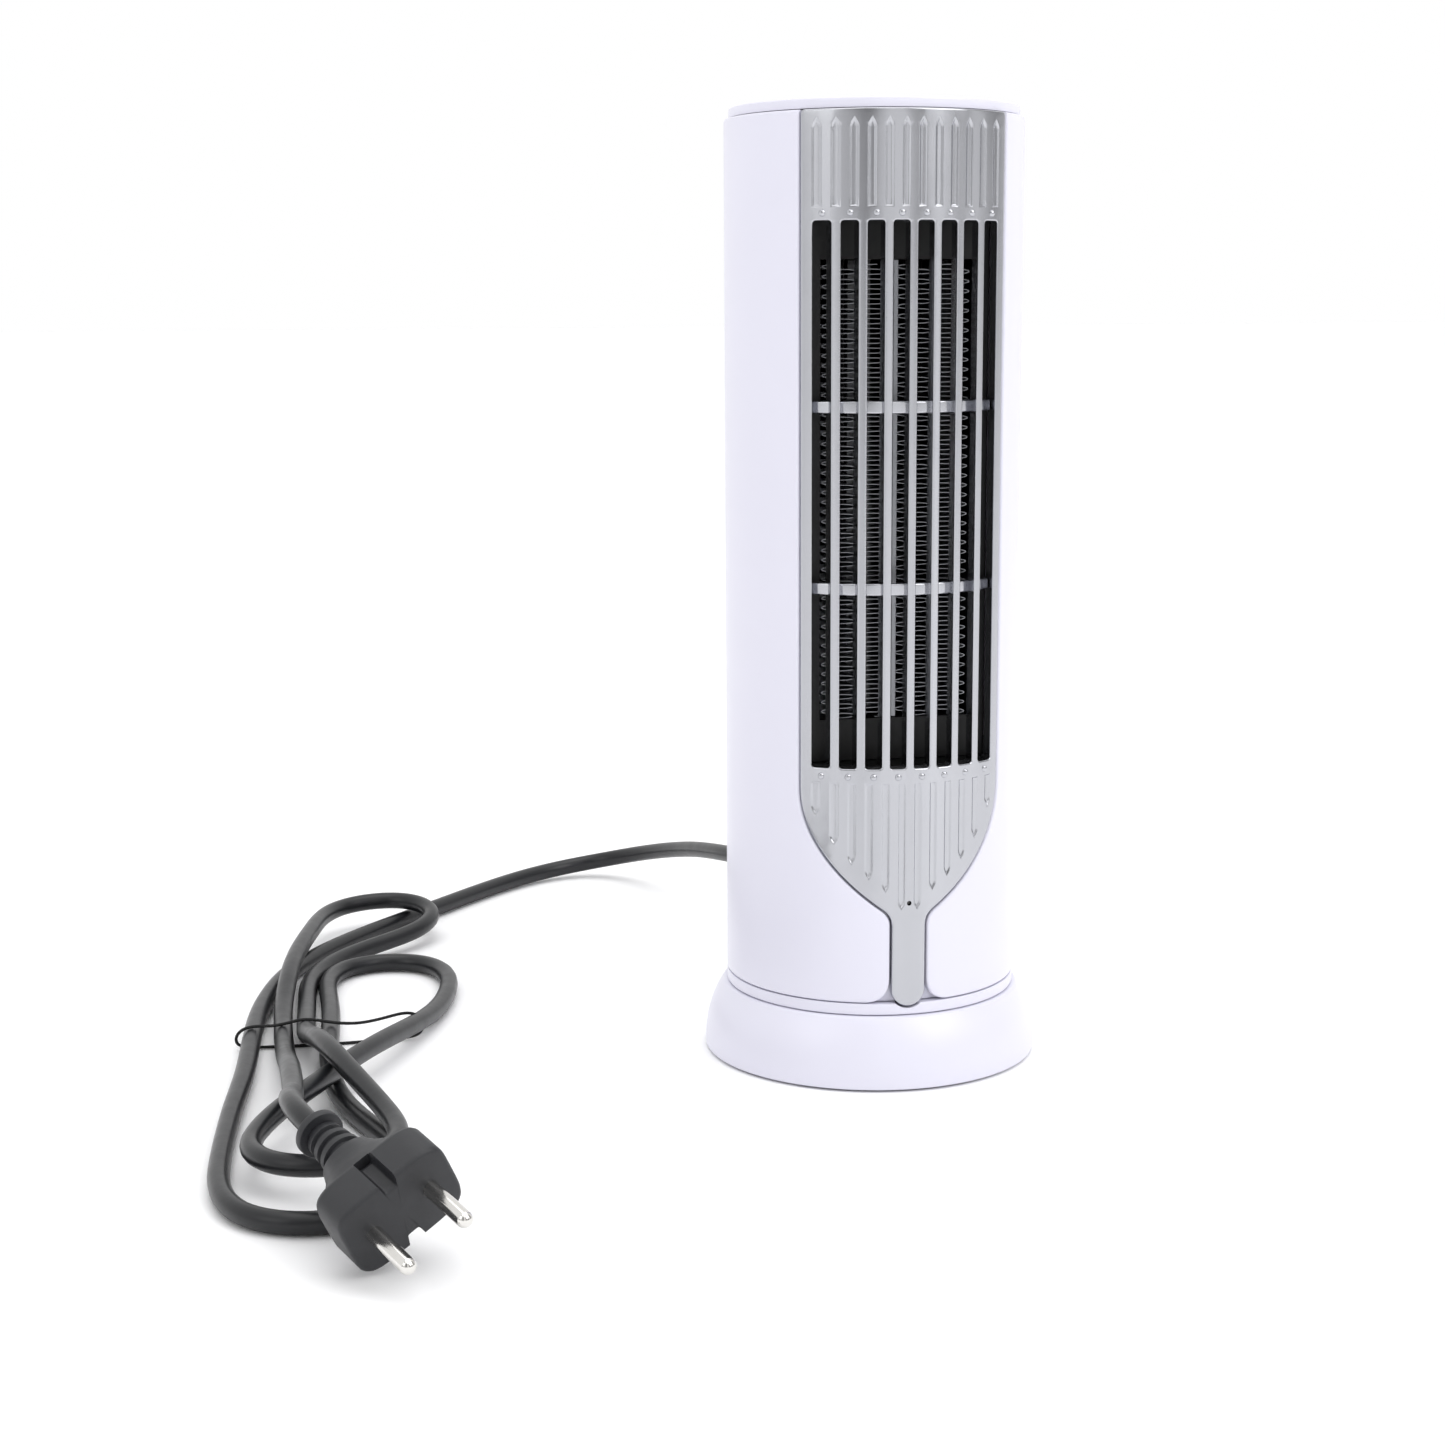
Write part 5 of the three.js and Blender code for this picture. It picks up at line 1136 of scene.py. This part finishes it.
    def tie(self, lead):
        """A thin wire loop over the strands of the hank."""
        over = [(-219, 6), (-216, 8.3), (-211, 8.6), (-207, 8.2), (-203, 8.7), (-198.5, 9.8),
                (-194.5, 10.4), (-190, 9.6), (-184, 8.2), (-176, 7.4), (-167, 8.8), (-159, 10.6),
                (-154.5, 8.2), (-153.4, 4.5), (-155.5, 1), (-165, 0.65), (-185, 0.65),
                (-205, 0.65), (-217, 1), (-219.3, 3)]
        loop = [(x, TIE_Y + 0.8 * math.sin(x / 9), z) for x, z in over]
        made = spline("lead_tie", loop, lead.tie_radius, finishes()["rubber"], cyclic=True)
        riding(made, "rubber", "cord_tie")


# ------------------------------------------------------------------ CAD nodes that are kept
class HEATER_OT_kept_nodes(bpy.types.Operator):
    """Give each CAD node that is shown the finish of its slot"""
    bl_idname = "heater.kept_nodes"
    bl_label = "Kept CAD nodes"

    def execute(self, context):
        chosen = {"white_housing": "abs", "chrome_panel": "chrome", "black_moulding": "nylon",
                  "grey_moulding": "grey", "rubber": "rubber", "cord_pvc": "cord",
                  "fin_aluminium": "aluminium", "steel": "steel", "nickel_pin": "nickel",
                  "lamp_lens": "lens"}
        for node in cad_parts.values():
            for place in node.material_slots:
                place.material = finishes()[chosen[place.material.name.split(".")[0]]]
        return {"FINISHED"}


# ------------------------------------------------------------------ stage
class HEATER_OT_stage(bpy.types.Operator):
    """Build the floor, the world, the soft lights and the camera"""
    bl_idname = "heater.stage"
    bl_label = "Stage"

    def execute(self, context):
        stage = context.scene.heater.stage
        half = 30
        corners = [(-half, -half, 0), (half, -half, 0), (half, half, 0), (-half, half, 0)]
        mesh = bpy.data.meshes.new("studio_floor")
        mesh.from_pydata(corners, [], [(0, 1, 2, 3)])
        mesh.materials.append(finishes()["floor"])
        floor = bpy.data.objects.new("studio_floor", mesh)
        context.scene.collection.objects.link(floor)
        self.world(context)
        self.light(context, "key_softbox", (1.3, -1.5, 1.5), 1.4, 20)
        self.light(context, "fill_softbox", (-1.8, -1.0, 1.2), 1.2, 5)
        self.light(context, "top_softbox", (0, 0.4, 2.2), 1.6, 7)
        self.overcast(context)
        heading, pitch, roll = stage.heading, stage.pitch, stage.roll
        forward = Vector((math.sin(heading) * math.cos(pitch), math.cos(heading) * math.cos(pitch),
                          -math.sin(pitch)))
        level = forward.cross(Vector((0, 0, 1))).normalized()
        upright = level.cross(forward)
        right = math.cos(roll) * level + math.sin(roll) * upright
        up = math.cos(roll) * upright - math.sin(roll) * level
        camera = bpy.data.objects.new("camera", bpy.data.cameras.new("camera"))
        camera.data.lens = stage.lens
        camera.data.sensor_width = 36
        camera.data.clip_start = 0.05
        place = Matrix((right, up, -forward)).transposed().to_4x4()
        place.translation = (-0.21512, -0.78842, 0.25608)
        camera.matrix_world = place
        context.scene.collection.objects.link(camera)
        context.scene.camera = camera
        context.scene.view_settings.view_transform = "Standard"
        return {"FINISHED"}

    def world(self, context):
        """Soft white surroundings with a few greyer bands for the chrome to reflect."""
        made = bpy.data.worlds.new("studio")
        made.use_nodes = True
        tree = made.node_tree
        tree.nodes.clear()
        place = add(tree, "ShaderNodeTexCoord")
        around = add(tree, "ShaderNodeTexGradient", {"gradient_type": "RADIAL"},
                     links={"Vector": (place, "Generated")})
        bands = add(tree, "ShaderNodeValToRGB", links={"Fac": (around, "Fac")})
        stops = [(0, 1), (0.05, 0.5), (0.11, 0.95), (0.16, 0.5), (0.2, 0.08), (0.23, 0.9),
                 (0.27, 1), (0.31, 0.1), (0.35, 0.75), (0.39, 0.12), (0.44, 0.9), (0.5, 0.3),
                 (0.56, 1), (1, 1)]
        ramp = bands.color_ramp
        for position, level in stops[1:-1]:
            ramp.elements.new(position)
        for element, (position, level) in zip(ramp.elements, stops):
            element.position = position
            element.color = (level, level, level, 1)
        ray = add(tree, "ShaderNodeLightPath")
        seen = add(tree, "ShaderNodeMix", {"data_type": "RGBA"},
                   links={"Factor": (ray, "Is Camera Ray"), "A": (bands, "Color")})
        seen.inputs["B"].default_value = (1, 1, 1, 1)
        back = add(tree, "ShaderNodeBackground", values={"Strength": 1.0},
                   links={"Color": (seen, "Result")})
        add(tree, "ShaderNodeOutputWorld", links={"Surface": (back, "Background")})
        context.scene.world = made

    def overcast(self, context):
        """A broad, even light from above that reaches the far floor too."""
        data = bpy.data.lights.new("overcast", "SUN")
        data.energy = 0.9
        data.angle = math.radians(70)
        made = bpy.data.objects.new("overcast", data)
        made.rotation_euler = Euler((0.2, 0.15, 0))
        context.scene.collection.objects.link(made)

    def light(self, context, name, spot, size, power):
        data = bpy.data.lights.new(name, "AREA")
        data.size = size
        data.energy = power
        made = bpy.data.objects.new(name, data)
        made.location = spot
        aim = Vector((0, 0, 0.15)) - Vector(spot)
        made.rotation_euler = aim.to_track_quat("-Z", "Y").to_euler()
        context.scene.collection.objects.link(made)


OPERATORS = [
    HEATER_OT_stage, HEATER_OT_lead, HEATER_OT_base, HEATER_OT_collar, HEATER_OT_front_shell,
    HEATER_OT_rear_cover, HEATER_OT_top_cap, HEATER_OT_panel, HEATER_OT_heater_core,
    HEATER_OT_kept_nodes,
]


class HEATER_PT_build(bpy.types.Panel):
    """Lists the steps that build the heater"""
    bl_label = "Tower Fan Heater"
    bl_idname = "HEATER_PT_build"
    bl_space_type = "VIEW_3D"
    bl_region_type = "UI"
    bl_category = "Heater"

    def draw(self, context):
        for step in OPERATORS:
            self.layout.operator(step.bl_idname)


CLASSES = [HousingSettings, PanelSettings, LeadSettings, FinishSettings, StageSettings,
           HeaterSettings, *OPERATORS, HEATER_PT_build]


def register():
    for each in CLASSES:
        bpy.utils.register_class(each)
    bpy.types.Scene.heater = PointerProperty(type=HeaterSettings)


def unregister():
    del bpy.types.Scene.heater
    for each in reversed(CLASSES):
        bpy.utils.unregister_class(each)


def main():
    register()
    bpy.ops.heater.stage()
    bpy.ops.heater.lead()
    bpy.ops.heater.base()
    bpy.ops.heater.collar()
    bpy.ops.heater.front_shell()
    bpy.ops.heater.rear_cover()
    bpy.ops.heater.top_cap()
    bpy.ops.heater.panel()
    bpy.ops.heater.core()
    bpy.ops.heater.kept_nodes()


if __name__ == "__main__":
    main()
